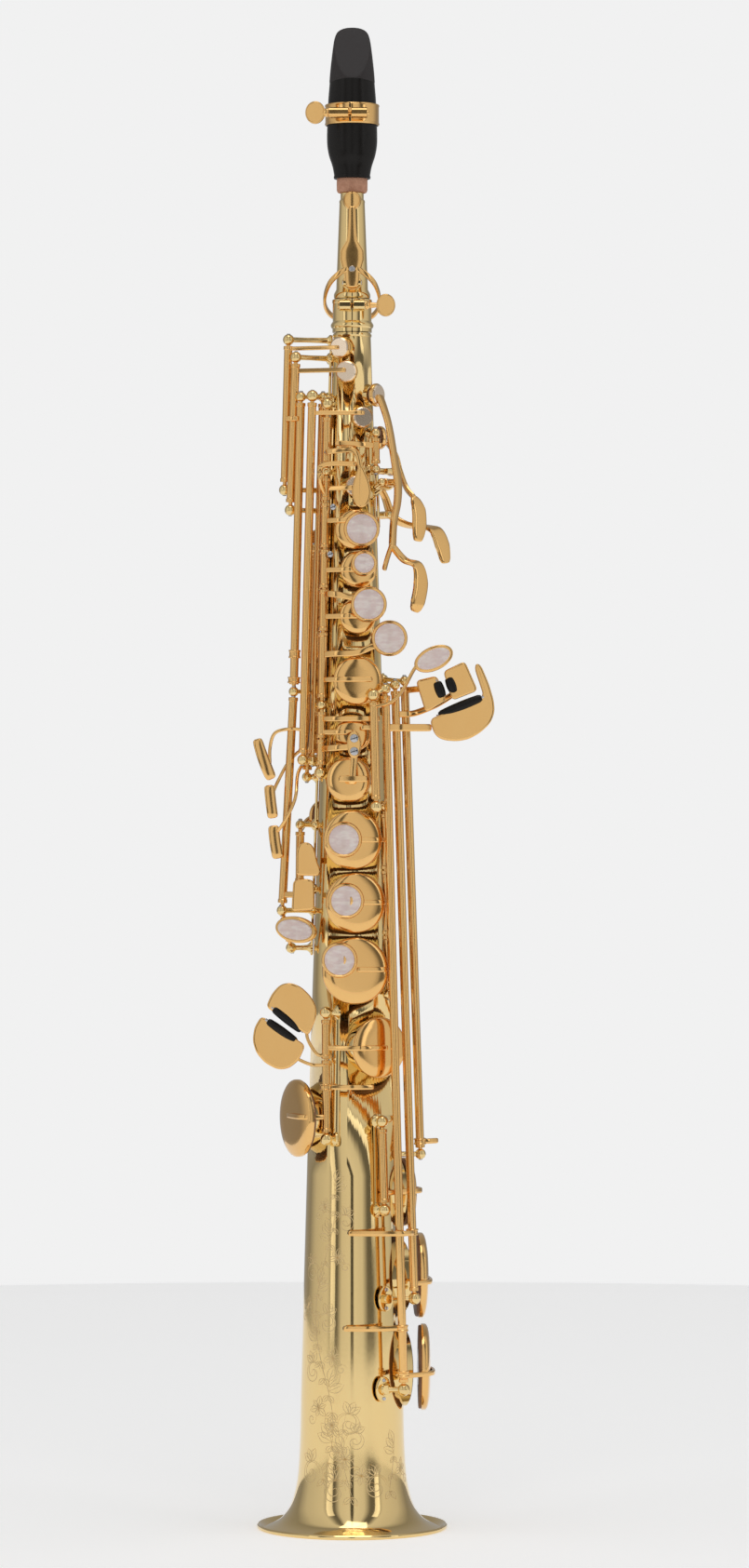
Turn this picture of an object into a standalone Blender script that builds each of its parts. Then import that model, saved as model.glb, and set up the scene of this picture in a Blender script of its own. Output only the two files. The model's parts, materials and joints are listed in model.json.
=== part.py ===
"""Straight soprano saxophone, modelled as separate sub-parts in metres, +Z up.

The tube's axis is vertical and stands a little to the left of the frame's origin, because the
little-finger tables reach further right than left. Every place below is written in millimetres
from the tube's own axis: x to the player's left hand table, y away from the front, z up from the
bell's rim. One empty carries the offset and the other empties are the keys' hinges.
"""

import bmesh
import bpy
from math import atan2, cos, radians, sin, sqrt, tau
from mathutils import Matrix, Vector

MM = 0.001
TUBE_X = -10.8              # tube axis in the frame, mm
WALL = 1.1                  # wall of the body tube
GAP = 0.35                  # clearance between neighbouring pieces
CHIMNEY = 1.6               # height of a chimney above the tube at its middle
CHIMNEY_WALL = 1.3
CUP_LIFT = 1.7              # a closed cup's brass above its chimney, where the pad shows
TUBE_SEGMENTS = 24
CUP_SEGMENTS = 14
ROD_SEGMENTS = 8
ROD_R = 2.0
BALL_R = 2.7
ARM_W = 2.4
ARM_T = 1.6
PEARL_R = 8.6
PEARL_T = 2.6

# radius of the tube's outside at each height, from the bell's rim up
TUBE_PROFILE = (
    (0.0, 44.6), (1.0, 41.0), (3.2, 36.0), (6.3, 32.6), (11.0, 29.6), (18.5, 27.4),
    (28.0, 26.0), (45.0, 25.1), (63.0, 24.8), (171.0, 21.8), (261.0, 19.1), (576.0, 8.95),
)
TUBE_TOP = 576.0

BRASS = (0.83, 0.62, 0.27, 1.0)
GOLD = (0.87, 0.58, 0.24, 1.0)
BLACK = (0.02, 0.02, 0.022, 1.0)
CORK = (0.55, 0.33, 0.2, 1.0)
CANE = (0.78, 0.62, 0.34, 1.0)


# ---------------------------------------------------------------- frame, collections, materials

def clear_scene():
    for old in list(bpy.data.objects):
        bpy.data.objects.remove(old, do_unlink=True)


def new_collection(name):
    collection = bpy.data.collections.new(name)
    bpy.context.scene.collection.children.link(collection)
    return collection


clear_scene()
PARTS = new_collection("soprano_saxophone")
CUTTERS = new_collection("cutters")


def material(name, colour, roughness, metallic):
    made = bpy.data.materials.new(name)
    made.use_nodes = True
    shader = made.node_tree.nodes["Principled BSDF"]
    shader.inputs["Base Color"].default_value = colour
    shader.inputs["Roughness"].default_value = roughness
    shader.inputs["Metallic"].default_value = metallic
    return made


def add_empty(name, place, parent=None):
    empty = bpy.data.objects.new(name, None)
    empty.empty_display_size = 0.01
    PARTS.objects.link(empty)
    empty.parent = parent
    empty.location = Vector(place) * MM
    return empty


TUBE_AXIS = add_empty("tube_axis", (TUBE_X, 0.0, 0.0))


# ---------------------------------------------------------------- places on the tube

def tube_radius(z):
    for (z0, r0), (z1, r1) in zip(TUBE_PROFILE, TUBE_PROFILE[1:]):
        if z <= z1:
            return r0 + (r1 - r0) * (z - z0) / (z1 - z0)
    return TUBE_PROFILE[-1][1]


def outward(phi):
    """The level direction at an angle round the tube: 0 is the front, 90 the right."""
    return Vector((sin(radians(phi)), -cos(radians(phi)), 0.0))


def around(phi, radius, z):
    return outward(phi) * radius + Vector((0.0, 0.0, z))


def along(line, z):
    """The point of a line between two points at a height."""
    low, high = Vector(line[0]), Vector(line[1])
    return low.lerp(high, (z - low.z) / (high.z - low.z))


# ---------------------------------------------------------------- simple solids, in millimetres

def finish_bmesh(bm, name):
    bm.normal_update()
    bmesh.ops.recalc_face_normals(bm, faces=bm.faces)
    if bm.calc_volume(signed=True) < 0.0:
        bmesh.ops.reverse_faces(bm, faces=bm.faces)
    mesh = bpy.data.meshes.new(name)
    bm.to_mesh(mesh)
    bm.free()
    return mesh


def aim(start, direction):
    """The matrix that carries +Z to a direction, at a point."""
    turn = Vector((0.0, 0.0, 1.0)).rotation_difference(Vector(direction).normalized())
    return Matrix.Translation(start) @ turn.to_matrix().to_4x4()


def rod(start, end, radius=ROD_R, end_radius=None, segments=ROD_SEGMENTS):
    start, end = Vector(start), Vector(end)
    bm = bmesh.new()
    bmesh.ops.create_cone(bm, cap_ends=True, segments=segments, radius1=radius,
                          radius2=radius if end_radius is None else end_radius,
                          depth=(end - start).length)
    bm.transform(aim((start + end) / 2, end - start))
    return finish_bmesh(bm, "rod")


def ball(place, radius=BALL_R):
    bm = bmesh.new()
    bmesh.ops.create_uvsphere(bm, u_segments=8, v_segments=4, radius=radius)
    bm.transform(Matrix.Translation(place))
    return finish_bmesh(bm, "ball")


def box(place, size, turn_z=0.0):
    bm = bmesh.new()
    bmesh.ops.create_cube(bm, size=1.0)
    bm.transform(Matrix.Translation(place) @ Matrix.Rotation(radians(turn_z), 4, "Z")
                 @ Matrix.Diagonal((*size, 1.0)))
    return finish_bmesh(bm, "box")


def resolved(obj):
    """The mesh that an object shows with its modifiers; the object is then removed."""
    bpy.context.view_layer.update()
    graph = bpy.context.evaluated_depsgraph_get()
    mesh = bpy.data.meshes.new_from_object(obj.evaluated_get(graph))
    mesh.transform(obj.matrix_world)
    bpy.data.objects.remove(obj, do_unlink=True)
    return mesh


def lathe(profile, place=(0, 0, 0), direction=(0, 0, 1), segments=CUP_SEGMENTS, closed=False):
    """A turned solid: (radius, height) points from the top down its outer side."""
    bm = bmesh.new()
    points = [bm.verts.new((r, 0.0, h)) for r, h in profile]
    pairs = list(zip(points, points[1:]))
    if closed:
        pairs.append((points[-1], points[0]))
    for a, b in pairs:
        bm.edges.new((a, b))
    mesh = bpy.data.meshes.new("profile")
    bm.to_mesh(mesh)
    bm.free()
    turned = bpy.data.objects.new("turned", mesh)
    CUTTERS.objects.link(turned)
    screw = turned.modifiers.new("screw", "SCREW")
    screw.steps = segments
    screw.render_steps = segments
    screw.use_merge_vertices = True
    screw.merge_threshold = 0.0001
    mesh = resolved(turned)
    bm = bmesh.new()
    bm.from_mesh(mesh)
    bm.transform(aim(place, direction))
    return finish_bmesh(bm, "turned")


def arm(points, width=ARM_W, thickness=ARM_T, up=(0, 0, 1)):
    """A flat key arm lofted through points; width is along up, and either may vary by point."""
    points = [Vector(p) for p in points]
    widths = width if isinstance(width, (list, tuple)) else [width] * len(points)
    bm = bmesh.new()
    rings = []
    for i, place in enumerate(points):
        ahead = points[min(i + 1, len(points) - 1)] - place
        behind = place - points[max(i - 1, 0)]
        run = (ahead.normalized() + behind.normalized()).normalized()
        side = run.cross(Vector(up)).normalized()
        rise = side.cross(run).normalized()
        corners = ((-1, -1), (1, -1), (1, 1), (-1, 1))
        rings.append([bm.verts.new(place + side * (a * thickness / 2) + rise * (b * widths[i] / 2))
                      for a, b in corners])
    for first, second in zip(rings, rings[1:]):
        for i in range(4):
            j = (i + 1) % 4
            bm.faces.new((first[i], first[j], second[j], second[i]))
    bm.faces.new(rings[0][::-1])
    bm.faces.new(rings[-1])
    return finish_bmesh(bm, "arm")


def plate(outline, depth, normal=(0, -1, 0), thickness=1.8, at=None):
    """A flat touch plate: an outline of (x, z) points, its middle plane at y = depth."""
    curve = bpy.data.curves.new("plate", "CURVE")
    curve.dimensions = "2D"
    curve.fill_mode = "BOTH"
    curve.extrude = thickness / 2
    spline = curve.splines.new("POLY")
    spline.points.add(len(outline) - 1)
    for point, (x, z) in zip(spline.points, outline):
        point.co = (x, z, 0.0, 1.0)
    spline.use_cyclic_u = True
    flat = bpy.data.objects.new("plate", curve)
    CUTTERS.objects.link(flat)
    face = Vector(normal).normalized()
    right = Vector((0, 0, 1)).cross(face).normalized()
    rise = face.cross(right).normalized()
    turn = Matrix((right, rise, face)).transposed().to_4x4()
    centre = Vector(at) if at else Vector((0.0, depth, 0.0))
    flat.matrix_world = Matrix.Translation(centre) @ turn
    mesh = resolved(flat)
    bm = bmesh.new()
    bm.from_mesh(mesh)
    bmesh.ops.remove_doubles(bm, verts=bm.verts, dist=0.0005)
    return finish_bmesh(bm, "plate")


def ellipse(long_radius, short_radius, tilt=0.0, centre=(0.0, 0.0), count=14):
    c, s = cos(radians(tilt)), sin(radians(tilt))
    points = []
    for i in range(count):
        a = tau * i / count
        x, z = long_radius * cos(a), short_radius * sin(a)
        points.append((centre[0] + c * x - s * z, centre[1] + s * x + c * z))
    return points


# ---------------------------------------------------------------- joining and cutting

def temporary(mesh, name, collection):
    obj = bpy.data.objects.new(name, mesh)
    collection.objects.link(obj)
    obj.hide_render = True
    obj.display_type = "WIRE"
    return obj


def combine(meshes, cuts=()):
    """One closed solid from overlapping solids, with the cutters taken out of it."""
    base = temporary(meshes[0], "base", CUTTERS)
    pieces = [("UNION", mesh) for mesh in meshes[1:]] + [("DIFFERENCE", mesh) for mesh in cuts]
    helpers = []
    for operation, mesh in pieces:
        helper = temporary(mesh, operation.lower(), CUTTERS)
        boolean = base.modifiers.new(operation.lower(), "BOOLEAN")
        boolean.operation = operation
        boolean.object = helper
        boolean.solver = "EXACT"
        helpers.append(helper)
    mesh = resolved(base)
    for helper in helpers:
        bpy.data.objects.remove(helper, do_unlink=True)
    bm = bmesh.new()
    bm.from_mesh(mesh)
    bmesh.ops.remove_doubles(bm, verts=bm.verts, dist=0.002)
    bmesh.ops.dissolve_degenerate(bm, edges=bm.edges, dist=0.002)
    bmesh.ops.dissolve_limit(bm, angle_limit=radians(0.5), verts=bm.verts, edges=bm.edges)
    return finish_bmesh(bm, "solid")


def add_part(name, meshes, finish, cuts=(), origin=(0, 0, 0)):
    """A named sub-part: its solids joined, its origin at a point given from the tube's axis."""
    mesh = combine(list(meshes), list(cuts)) if len(meshes) > 1 or cuts else meshes[0]
    mesh.transform(Matrix.Scale(MM, 4) @ Matrix.Translation(-Vector(origin)))
    mesh.name = name
    mesh.materials.clear()
    mesh.materials.append(finish)
    made = bpy.data.objects.new(name, mesh)
    PARTS.objects.link(made)
    made.parent = TUBE_AXIS
    made.location = Vector(origin) * MM
    return made


brass = material("lacquered_brass", BRASS, 0.16, 1.0)
gold = material("gold_key_brass", GOLD, 0.18, 1.0)
black = material("black_ebonite", BLACK, 0.25, 0.0)
cork = material("cork", CORK, 0.85, 0.0)
cane = material("cane_reed", CANE, 0.6, 0.0)


# ---------------------------------------------------------------- tone holes and cups

class Cup:
    """A pad cup over a tone hole: its place, the chimney under it and its rest angle."""

    def __init__(self, phi, z, radius, open_deg=0.0, chimney=None, thick=None, stand=CHIMNEY):
        self.phi = phi
        self.z = z
        self.radius = radius
        self.open_deg = open_deg
        self.chimney = chimney if chimney else radius - 1.0
        self.thick = thick if thick else 1.9 + 0.12 * radius
        self.rim = tube_radius(z) + stand

    def closed(self):
        """Middle of the cup's underside when it is closed, and its outward direction."""
        return around(self.phi, self.rim + CUP_LIFT, self.z), outward(self.phi)

    def rest(self, hinge):
        """The same two at rest: an open-standing cup is turned away about its hinge."""
        place, face = self.closed()
        if not self.open_deg:
            return place, face
        foot, direction = hinge
        lever = direction.cross(place - foot)
        angle = radians(self.open_deg) * (1.0 if lever.dot(face) > 0 else -1.0)
        turn = Matrix.Rotation(angle, 3, direction)
        return foot + turn @ (place - foot), turn @ face

    def mesh(self, hinge):
        place, face = self.rest(hinge)
        r, t = self.radius, self.thick
        profile = ((0.0, t), (0.6 * r, 0.92 * t), (r, 0.55 * t), (r, 0.0), (0.0, 0.0))
        segments = CUP_SEGMENTS if r > 7.0 else 10
        return lathe(profile, place, face, segments)

    def top(self, hinge, across=0.0, up=0.0, sink=0.3):
        """A point on the cup's top face, shifted sideways and along the tube."""
        place, face = self.rest(hinge)
        side = face.cross(Vector((0, 0, 1))).normalized() * -1.0
        return place + face * (self.thick - sink) + side * across + Vector((0, 0, up))


# ---------------------------------------------------------------- hinge lines, top and bottom

UPPER_STACK = ((-15.0, -17.0, 364.0), (-11.9, -14.5, 541.0))
LOWER_STACK = ((17.3, -17.4, 258.0), (15.6, -18.5, 348.0))
HIGH_G = ((-32.5, -5.0, 500.2), (-30.6, -5.0, 572.5))
HIGH_FS = ((-29.7, -9.0, 490.3), (-27.0, -9.0, 563.8))
FS_ROD = ((-28.0, -12.0, 403.0), (-24.5, -12.0, 544.5))
FS_LEVER = ((-33.7, -5.0, 297.7), (-28.0, -12.0, 403.0))
HIGH_E = ((-23.6, -14.5, 370.2), (-19.0, -15.0, 544.8))
SIDE_C = ((-19.0, -8.0, 369.8), (-14.0, -6.5, 544.7))
SIDE_BB = ((-21.8, 0.3, 362.0), (-18.4, 1.0, 472.0))
TRILL = ((-25.3, -2.5, 308.0), (-25.0, -2.5, 339.0))
G_LEVER = ((-29.4, 0.5, 279.6), (-33.7, -5.0, 297.7))
ROD_1 = ((11.6, -29.5, 347.7), (10.3, -29.0, 401.0))
ROD_2 = ((24.8, -24.0, 69.0), (16.0, -25.5, 404.0))
ROD_3 = ((29.9, -18.0, 112.1), (20.6, -21.6, 406.0))
ROD_4 = ((32.9, -5.0, 180.5), (25.2, -15.0, 408.0))
C_SHARP = ((15.7, -22.8, 154.8), (14.5, -22.5, 197.2))
LOW_C = ((-12.2, -22.0, 188.7), (-12.5, -22.0, 249.2))


def hinge(line):
    low, high = Vector(line[0]), Vector(line[1])
    return low, (high - low).normalized()


def hinge_tube(line, z_low, z_high, radius=ROD_R):
    return rod(along(line, z_low), along(line, z_high), radius)


def post(place, foot, radius=BALL_R, stem=1.4):
    return [ball(place, radius), rod(foot, place, stem, segments=5)]


CUPS = {
    "high_g_key": Cup(-25, 568.3, 5.2),
    "high_f_sharp_key": Cup(-11, 556.6, 5.4),
    "palm_f_key": Cup(57, 545.7, 5.6),
    "high_e_key": Cup(20, 534.6, 5.3),
    "palm_e_flat_key": Cup(112, 526.0, 5.6),
    "palm_d_key": Cup(150, 510.0, 6.0),
    "small_c_key": Cup(8, 501.3, 5.2, 9),
    "side_c_key": Cup(-133, 505.0, 6.2),
    "b_key": Cup(6, 480.6, 9.5, 9),
    "bis_key": Cup(12, 461.2, 8.7, 9),
    "side_b_flat_key": Cup(-137, 450.0, 7.2),
    "a_key": Cup(11, 439.2, 8.8, 9),
    "g_key": Cup(10, 408.1, 11.7, 8),
    "g_sharp_key": Cup(2, 382.6, 8.5),
    "f_sharp_key": Cup(-3, 360.6, 10.8, 7),
    "f_sharp_trill_key": Cup(-132, 343.0, 7.4),
    "f_key": Cup(0, 331.9, 14.1, 7),
    "e_key": Cup(3, 301.7, 14.4, 7, chimney=13.0),
    "d_key": Cup(2, 269.3, 16.0, 7, chimney=13.9),
    "low_e_flat_key": Cup(33, 232.4, 14.6),
    "low_c_key": Cup(-72, 198.0, 18.6, 6, chimney=14.4, stand=2.4),
    "low_c_sharp_key": Cup(104, 161.5, 16.6),
    "low_b_key": Cup(108, 120.7, 20.6, 14, chimney=18.2),
    "low_b_flat_key": Cup(103, 76.8, 20.8, 12, chimney=18.8),
}
OCTAVE_PIP = (165.0, 552.0)


# ---------------------------------------------------------------- body tube and neck

def body_tube():
    """The cone and the bell in one wall, with a drawn chimney at every tone hole."""
    outside = [(r, z) for z, r in reversed(TUBE_PROFILE[1:])]
    bead = [(44.2, 0.9), (45.3, 2.2), (46.0, 0.9), (45.4, 0.0), (0.0, 0.0)]
    solid = lathe([(0.0, TUBE_TOP)] + outside + bead, segments=TUBE_SEGMENTS)
    inside = [(r - WALL, z) for z, r in reversed(TUBE_PROFILE[2:])]
    inside[0] = (tube_radius(TUBE_TOP) - WALL, TUBE_TOP + 1.0)
    mouth = [(40.6, 0.9), (43.2, 0.3), (43.4, -1.0), (0.0, -1.0)]
    bore = lathe([(0.0, TUBE_TOP + 1.0)] + inside + mouth, segments=TUBE_SEGMENTS)
    chimneys, holes = [], []
    for cup in CUPS.values():
        segments = 12 if cup.chimney > 8 else 8
        root = sqrt(max(tube_radius(cup.z) ** 2 - cup.chimney ** 2, 9.0)) - 0.6
        chimneys.append(rod(around(cup.phi, root, cup.z), around(cup.phi, cup.rim, cup.z),
                            cup.chimney, segments=segments))
        holes.append(rod(around(cup.phi, root - 4.0, cup.z), around(cup.phi, cup.rim + 3, cup.z),
                         cup.chimney - CHIMNEY_WALL, segments=segments))
    phi, z = OCTAVE_PIP
    chimneys.append(rod(around(phi, 8.7, z), around(phi, 13.0, z), 2.2))
    return add_part("body_tube", [solid] + chimneys, brass, cuts=[bore] + holes)


def neck_receiver():
    """The split sleeve that clamps the neck, with the lugs of its clamp screw."""
    sleeve = lathe([(9.6, 592.0), (9.6, 580.6), (10.2, 580.2), (10.2, 578.6), (9.5, 578.2),
                    (9.5, TUBE_TOP + GAP), (7.6, TUBE_TOP + GAP), (8.5, 581.0), (8.5, 592.0)],
                   segments=18, closed=True)
    lugs = box((0.0, -11.2, 588.6), (12.4, 4.6, 5.2))
    slot = box((0.0, -11.0, 588.8), (1.0, 9.0, 14.0))
    screw_hole = rod((-4.9, -11.6, 588.6), (9.0, -11.6, 588.6), 1.5, segments=12)
    return add_part("neck_receiver", [sleeve, lugs], brass, cuts=[slot, screw_hole])


def neck_clamp_screw():
    shank = rod((-4.4, -11.6, 588.6), (12.6, -11.6, 588.6), 1.1)
    collar = rod((6.7, -11.6, 588.6), (8.6, -11.6, 588.6), 2.3, 1.5)
    paddle = lathe([(0.0, 0.8), (4.4, 0.8), (4.7, 0.0), (4.4, -0.8), (0.0, -0.8)],
                   (16.2, -11.6, 588.6), (0, 1, 0), 16)
    return add_part("neck_clamp_screw", [shank, collar, paddle], gold, origin=(0, -11.6, 588.6))


NECK_BASE = 583.0
NECK_TOP = 652.0


def neck_radius(z):
    return 8.1 - 2.2 * (z - NECK_BASE) / (NECK_TOP - NECK_BASE)


def neck_tube():
    """The straight neck: a tenon in the receiver, a collar above it, then a slim cone."""
    outer = [(5.6, 646.0), (5.6, 640.5), (6.1, 640.0), (neck_radius(596.0), 596.0), (8.7, 594.6),
             (8.7, 592.6), (8.1, 592.4), (8.1, NECK_BASE)]
    inner = [(7.1, NECK_BASE), (4.4, 646.0)]
    tube = lathe(outer + inner, segments=18, closed=True)
    pip = rod((0, -5.6, 639.0), (0, -8.6, 639.0), 2.0, segments=10)
    saddles = [box((side * 3.4, -8.2, 599.6), (1.4, 4.4, 3.6)) for side in (-1, 1)]
    return add_part("neck_tube", [tube, pip] + saddles, brass, cuts=[
        lathe([(0.0, 648.0), (4.4, 646.0), (7.1, NECK_BASE), (0.0, 582.0)], segments=20)])


def neck_cork():
    sleeve = lathe([(7.0, 656.0), (7.3, 655.4), (7.4, 644.6), (6.9, 643.8), (5.95, 643.8),
                    (5.95, 656.0)], segments=20, closed=True)
    return add_part("neck_cork", [sleeve], cork)


def mouthpiece():
    """A turned shank and beak, planed to a wedge in front and to the reed's table behind."""
    outside = lathe([(0.0, 724.0), (3.5, 723.8), (6.6, 722.4), (8.1, 719.4), (9.2, 713.0),
                     (10.2, 704.0), (10.7, 697.0), (11.5, 688.5), (12.0, 677.0), (12.1, 668.0),
                     (11.4, 662.6), (9.6, 657.2), (8.5, 651.2), (8.2, 650.4), (0.0, 650.4)],
                    segments=20)
    slope = atan2(13.6, 27.5)
    wedge = box((0, 0, 0), (30, 20, 60))
    wedge.transform(Matrix.Translation((0, -11.0, 697.0)) @ Matrix.Rotation(-slope, 4, "X")
                    @ Matrix.Translation((0, -10.0, 30.0)))
    table = box((0, 16.6, 698.0), (30, 20, 56))
    bore = lathe([(0.0, 702.0), (4.6, 698.0), (5.2, 668.0), (7.75, 664.0), (7.75, 649.0),
                  (0.0, 649.0)], segments=20)
    window = box((0, 5.0, 700.0), (8.6, 8.0, 34.0))
    return add_part("mouthpiece", [outside], black, cuts=[wedge, table, bore, window])


REED_MIDDLE = Vector((0, 8.3, 690.0))
REED_TIP = Vector((0, 7.15, 722.6))


def reed():
    """Flat behind the table, thick at the butt and shaved to a thin tip."""
    blade = arm([(0, 8.35, 672.5), (0, 8.3, 694.0), (0, 7.45, 712.0), (0, 7.15, 722.6)],
                [12.4, 12.4, 12.8, 13.0], 1.0, up=(1, 0, 0))
    bm = bmesh.new()
    bm.from_mesh(blade)
    flat_side, butt_back, tip_back = 6.95, 9.6, 7.25
    vamp_start, vamp_length = 690.0, 32.0
    for vert in bm.verts:
        share = min(max((vert.co.z - vamp_start) / vamp_length, 0.0), 1.0)
        back = butt_back + (tip_back - butt_back) * share
        vert.co.y = back if vert.co.y > REED_MIDDLE.lerp(REED_TIP, share).y else flat_side
    return add_part("reed", [finish_bmesh(bm, "reed")], cane)


LIGATURE_Z = 680.7


def ligature():
    band = lathe([(13.1, 686.0), (13.1, 676.2), (12.45, 676.2), (12.45, 686.0)],
                 segments=20, closed=True)
    lugs = box((-2.0, -14.6, LIGATURE_Z), (18.8, 4.4, 5.2))
    slot = box((-1.0, -13.6, LIGATURE_Z), (1.1, 9.0, 14.0))
    hole = rod((-12.0, -14.8, LIGATURE_Z), (8.0, -14.8, LIGATURE_Z), 1.5, segments=12)
    bore = rod((0, 0, 670.0), (0, 0, 690.0), 12.45, segments=20)
    return add_part("ligature", [band, lugs], gold, cuts=[slot, hole, bore])


def ligature_screw():
    shank = rod((-14.5, -14.8, LIGATURE_Z), (7.8, -14.8, LIGATURE_Z), 1.1)
    collar = rod((-13.8, -14.8, LIGATURE_Z), (-11.8, -14.8, LIGATURE_Z), 1.6, 2.3)
    paddle = lathe([(0.0, 0.8), (4.6, 0.8), (4.9, 0.0), (4.6, -0.8), (0.0, -0.8)],
                   (-17.6, -14.8, LIGATURE_Z), (0, 1, 0), 16)
    return add_part("ligature_screw", [shank, collar, paddle], gold,
                    origin=(0, -14.8, LIGATURE_Z))


NECK_HINGE = (0.0, -10.2, 599.6)


def neck_octave_key():
    """The pad over the neck's pip, its long plate, and the ring that passes round the receiver."""
    pad = lathe([(0.0, 2.3), (3.4, 2.1), (4.3, 1.2), (4.3, 0.0), (0.0, 0.0)], (0, -9.5, 639.0),
                (0, -1, 0), 16)
    long_plate = arm([(0, -11.3, 640.0), (0, -11.6, 622.0), (0, -11.6, 612.0), (0, -11.6, 602.0),
                      (0, -11.4, 597.6)], [3.8, 5.2, 11.4, 7.4, 6.0], 1.5, up=(1, 0, 0))
    barrel = rod((-2.3, -10.2, 599.6), (2.3, -10.2, 599.6), 1.8)
    ring = []
    for side in (-1, 1):
        ring.append(arm([(side * 1.5, -11.8, 605.5), (side * 6.0, -11.4, 603.5),
                         (side * 10.6, -8.6, 599.6), (side * 13.0, -2.5, 594.0),
                         (side * 12.8, 4.0, 589.0), (side * 9.8, 10.8, 585.4),
                         (side * 5.4, 13.8, 584.4), (side * -0.6, 15.0, 584.0)], 2.4, 1.5))
    return add_part("neck_octave_key", [long_plate, pad, barrel] + ring, gold,
                    origin=NECK_HINGE)


# ---------------------------------------------------------------- static posts and ribs

def rib(phi, z_low, z_high, width=4.0):
    """A strip soldered along the tube: it follows the cone at a small height above it."""
    steps = (z_low, (z_low + z_high) / 2, z_high)
    points = [around(phi, tube_radius(z) + GAP + 0.65, z) for z in steps]
    return arm(points, width, 1.2, up=(cos(radians(phi)), sin(radians(phi)), 0))


def rib_point(phi, z, height=1.5):
    return around(phi, tube_radius(z) + height, z)


def end_posts(line, foot_phi, radius=BALL_R, stem=1.4, ends=(0, 1)):
    solids = []
    for end in ends:
        place = Vector(line[end])
        solids += post(place, rib_point(foot_phi, place.z), radius, stem)
    return solids


def saddle(line, foot):
    """Two lugs that hold a cross hinge, on one bar with a foot."""
    low, high = Vector(line[0]), Vector(line[1])
    inner = Vector(foot)
    middle = (low + high) / 2
    sink = (inner - middle).normalized() * 4.4
    return [ball(low, 1.9), ball(high, 1.9), rod(low, low + sink, 1.3, segments=5),
            rod(high, high + sink, 1.3, segments=5), rod(low + sink, high + sink, 1.3, segments=5),
            rod(middle + sink, inner, 1.5, segments=5)]


def left_rib():
    solids = [rib(-95, 276.0, 573.5)]
    solids += end_posts(HIGH_G, -95) + end_posts(HIGH_FS, -95)
    solids += end_posts(FS_ROD, -84, 2.4, 1.1) + end_posts(HIGH_E, -95, ends=(0,))
    solids += [strap(-95, -83, FS_ROD[0][2]), strap(-95, -83, FS_ROD[1][2])]
    solids += end_posts(SIDE_C, -95, 2.5, ends=(0,)) + end_posts(SIDE_BB, -95, 2.4)
    solids += end_posts(TRILL, -95, 2.3) + end_posts(G_LEVER, -95, 2.6)
    solids += post(HIGH_E[1], rib_point(-95, HIGH_E[1][2]), 2.8)
    solids += post(SIDE_C[1], rib_point(-95, SIDE_C[1][2]), 2.4)
    solids += end_posts(OCTAVE, -160, 2.3, 1.2)
    solids += [strap(-95, -200, 543.0), strap(-95, -165, 468.0), strap(-95, -165, 562.0)]
    solids += saddle(OCTAVE_PAD, rib_point(165, 543.0))
    return add_part("left_rib", solids, brass)


def upper_stack_rib():
    solids = [rib(-62, 362.0, 545.0, 3.6)]
    solids += end_posts(UPPER_STACK, -62, 2.8, 1.5)
    solids += post(along(UPPER_STACK, 396.5), rib_point(-62, 396.5), 2.4)
    solids += post(along(UPPER_STACK, 508.6), rib_point(-62, 508.6), 2.4)
    return add_part("upper_stack_rib", solids, brass)


def lower_stack_rib():
    solids = [rib(66, 256.0, 350.0, 3.6)]
    solids += end_posts(LOWER_STACK, 66, 2.7, 1.5)
    solids += post(ROD_1[0], rib_point(66, ROD_1[0][2]), 2.9, 1.5)
    return add_part("lower_stack_rib", solids, brass)


PALM_F = ((14.2, -15.4, 503.4), (20.6, -5.4, 503.4))
PALM_EB = ((20.2, -1.2, 509.5), (18.4, 8.8, 509.5))
PALM_D = ((19.6, 9.4, 489.0), (12.6, 17.6, 489.0))
F_LINK = ((11.4, -13.0, 509.8), (11.4, -13.0, 527.2))
OCTAVE = ((-6.8, 19.4, 468.0), (-6.8, 17.6, 562.0))
OCTAVE_PAD = ((-1.6, 15.8, 543.0), (8.4, 15.8, 543.0))


def strap(start, end, z, width=3.0):
    """A band round part of the tube, which joins the feet of posts on different sides."""
    count = max(2, int(abs(end - start) / 15))
    angles = [start + (end - start) * i / count for i in range(count + 1)]
    return arm([rib_point(phi, z, 1.05) for phi in angles], width, 1.2)


def palm_key_rib():
    """A strip on the right with the saddles of the three palm keys and one upright hinge."""
    solids = [rib(84, 482.0, 513.5, 3.6), strap(46, 132, 499.0), rib(46, 496.0, 530.0, 3.4)]
    solids += [strap(84, 132, 489.0)]
    solids += saddle(PALM_F, rib_point(60, 499.0, 1.2))
    solids += saddle(PALM_EB, rib_point(88, 509.5, 1.2))
    solids += saddle(PALM_D, rib_point(126, 489.0, 1.2))
    solids += end_posts(F_LINK, 46, 2.2, 1.3)
    return add_part("palm_key_rib", solids, brass)


def pinky_table_post():
    """Four ball posts fanned out on one strip, for the tops of the four long levers."""
    solids = [rib(78, 392.0, 412.0, 4.2)]
    for line, z_foot, radius in ((ROD_2, 400, 2.5), (ROD_3, 406, 2.4), (ROD_4, 409, 2.4)):
        solids += post(line[1], rib_point(78, z_foot), radius, 1.1)
    solids += post(ROD_1[1], ROD_2[1], 2.9, 1.2)
    return add_part("pinky_table_post", solids, brass)


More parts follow.
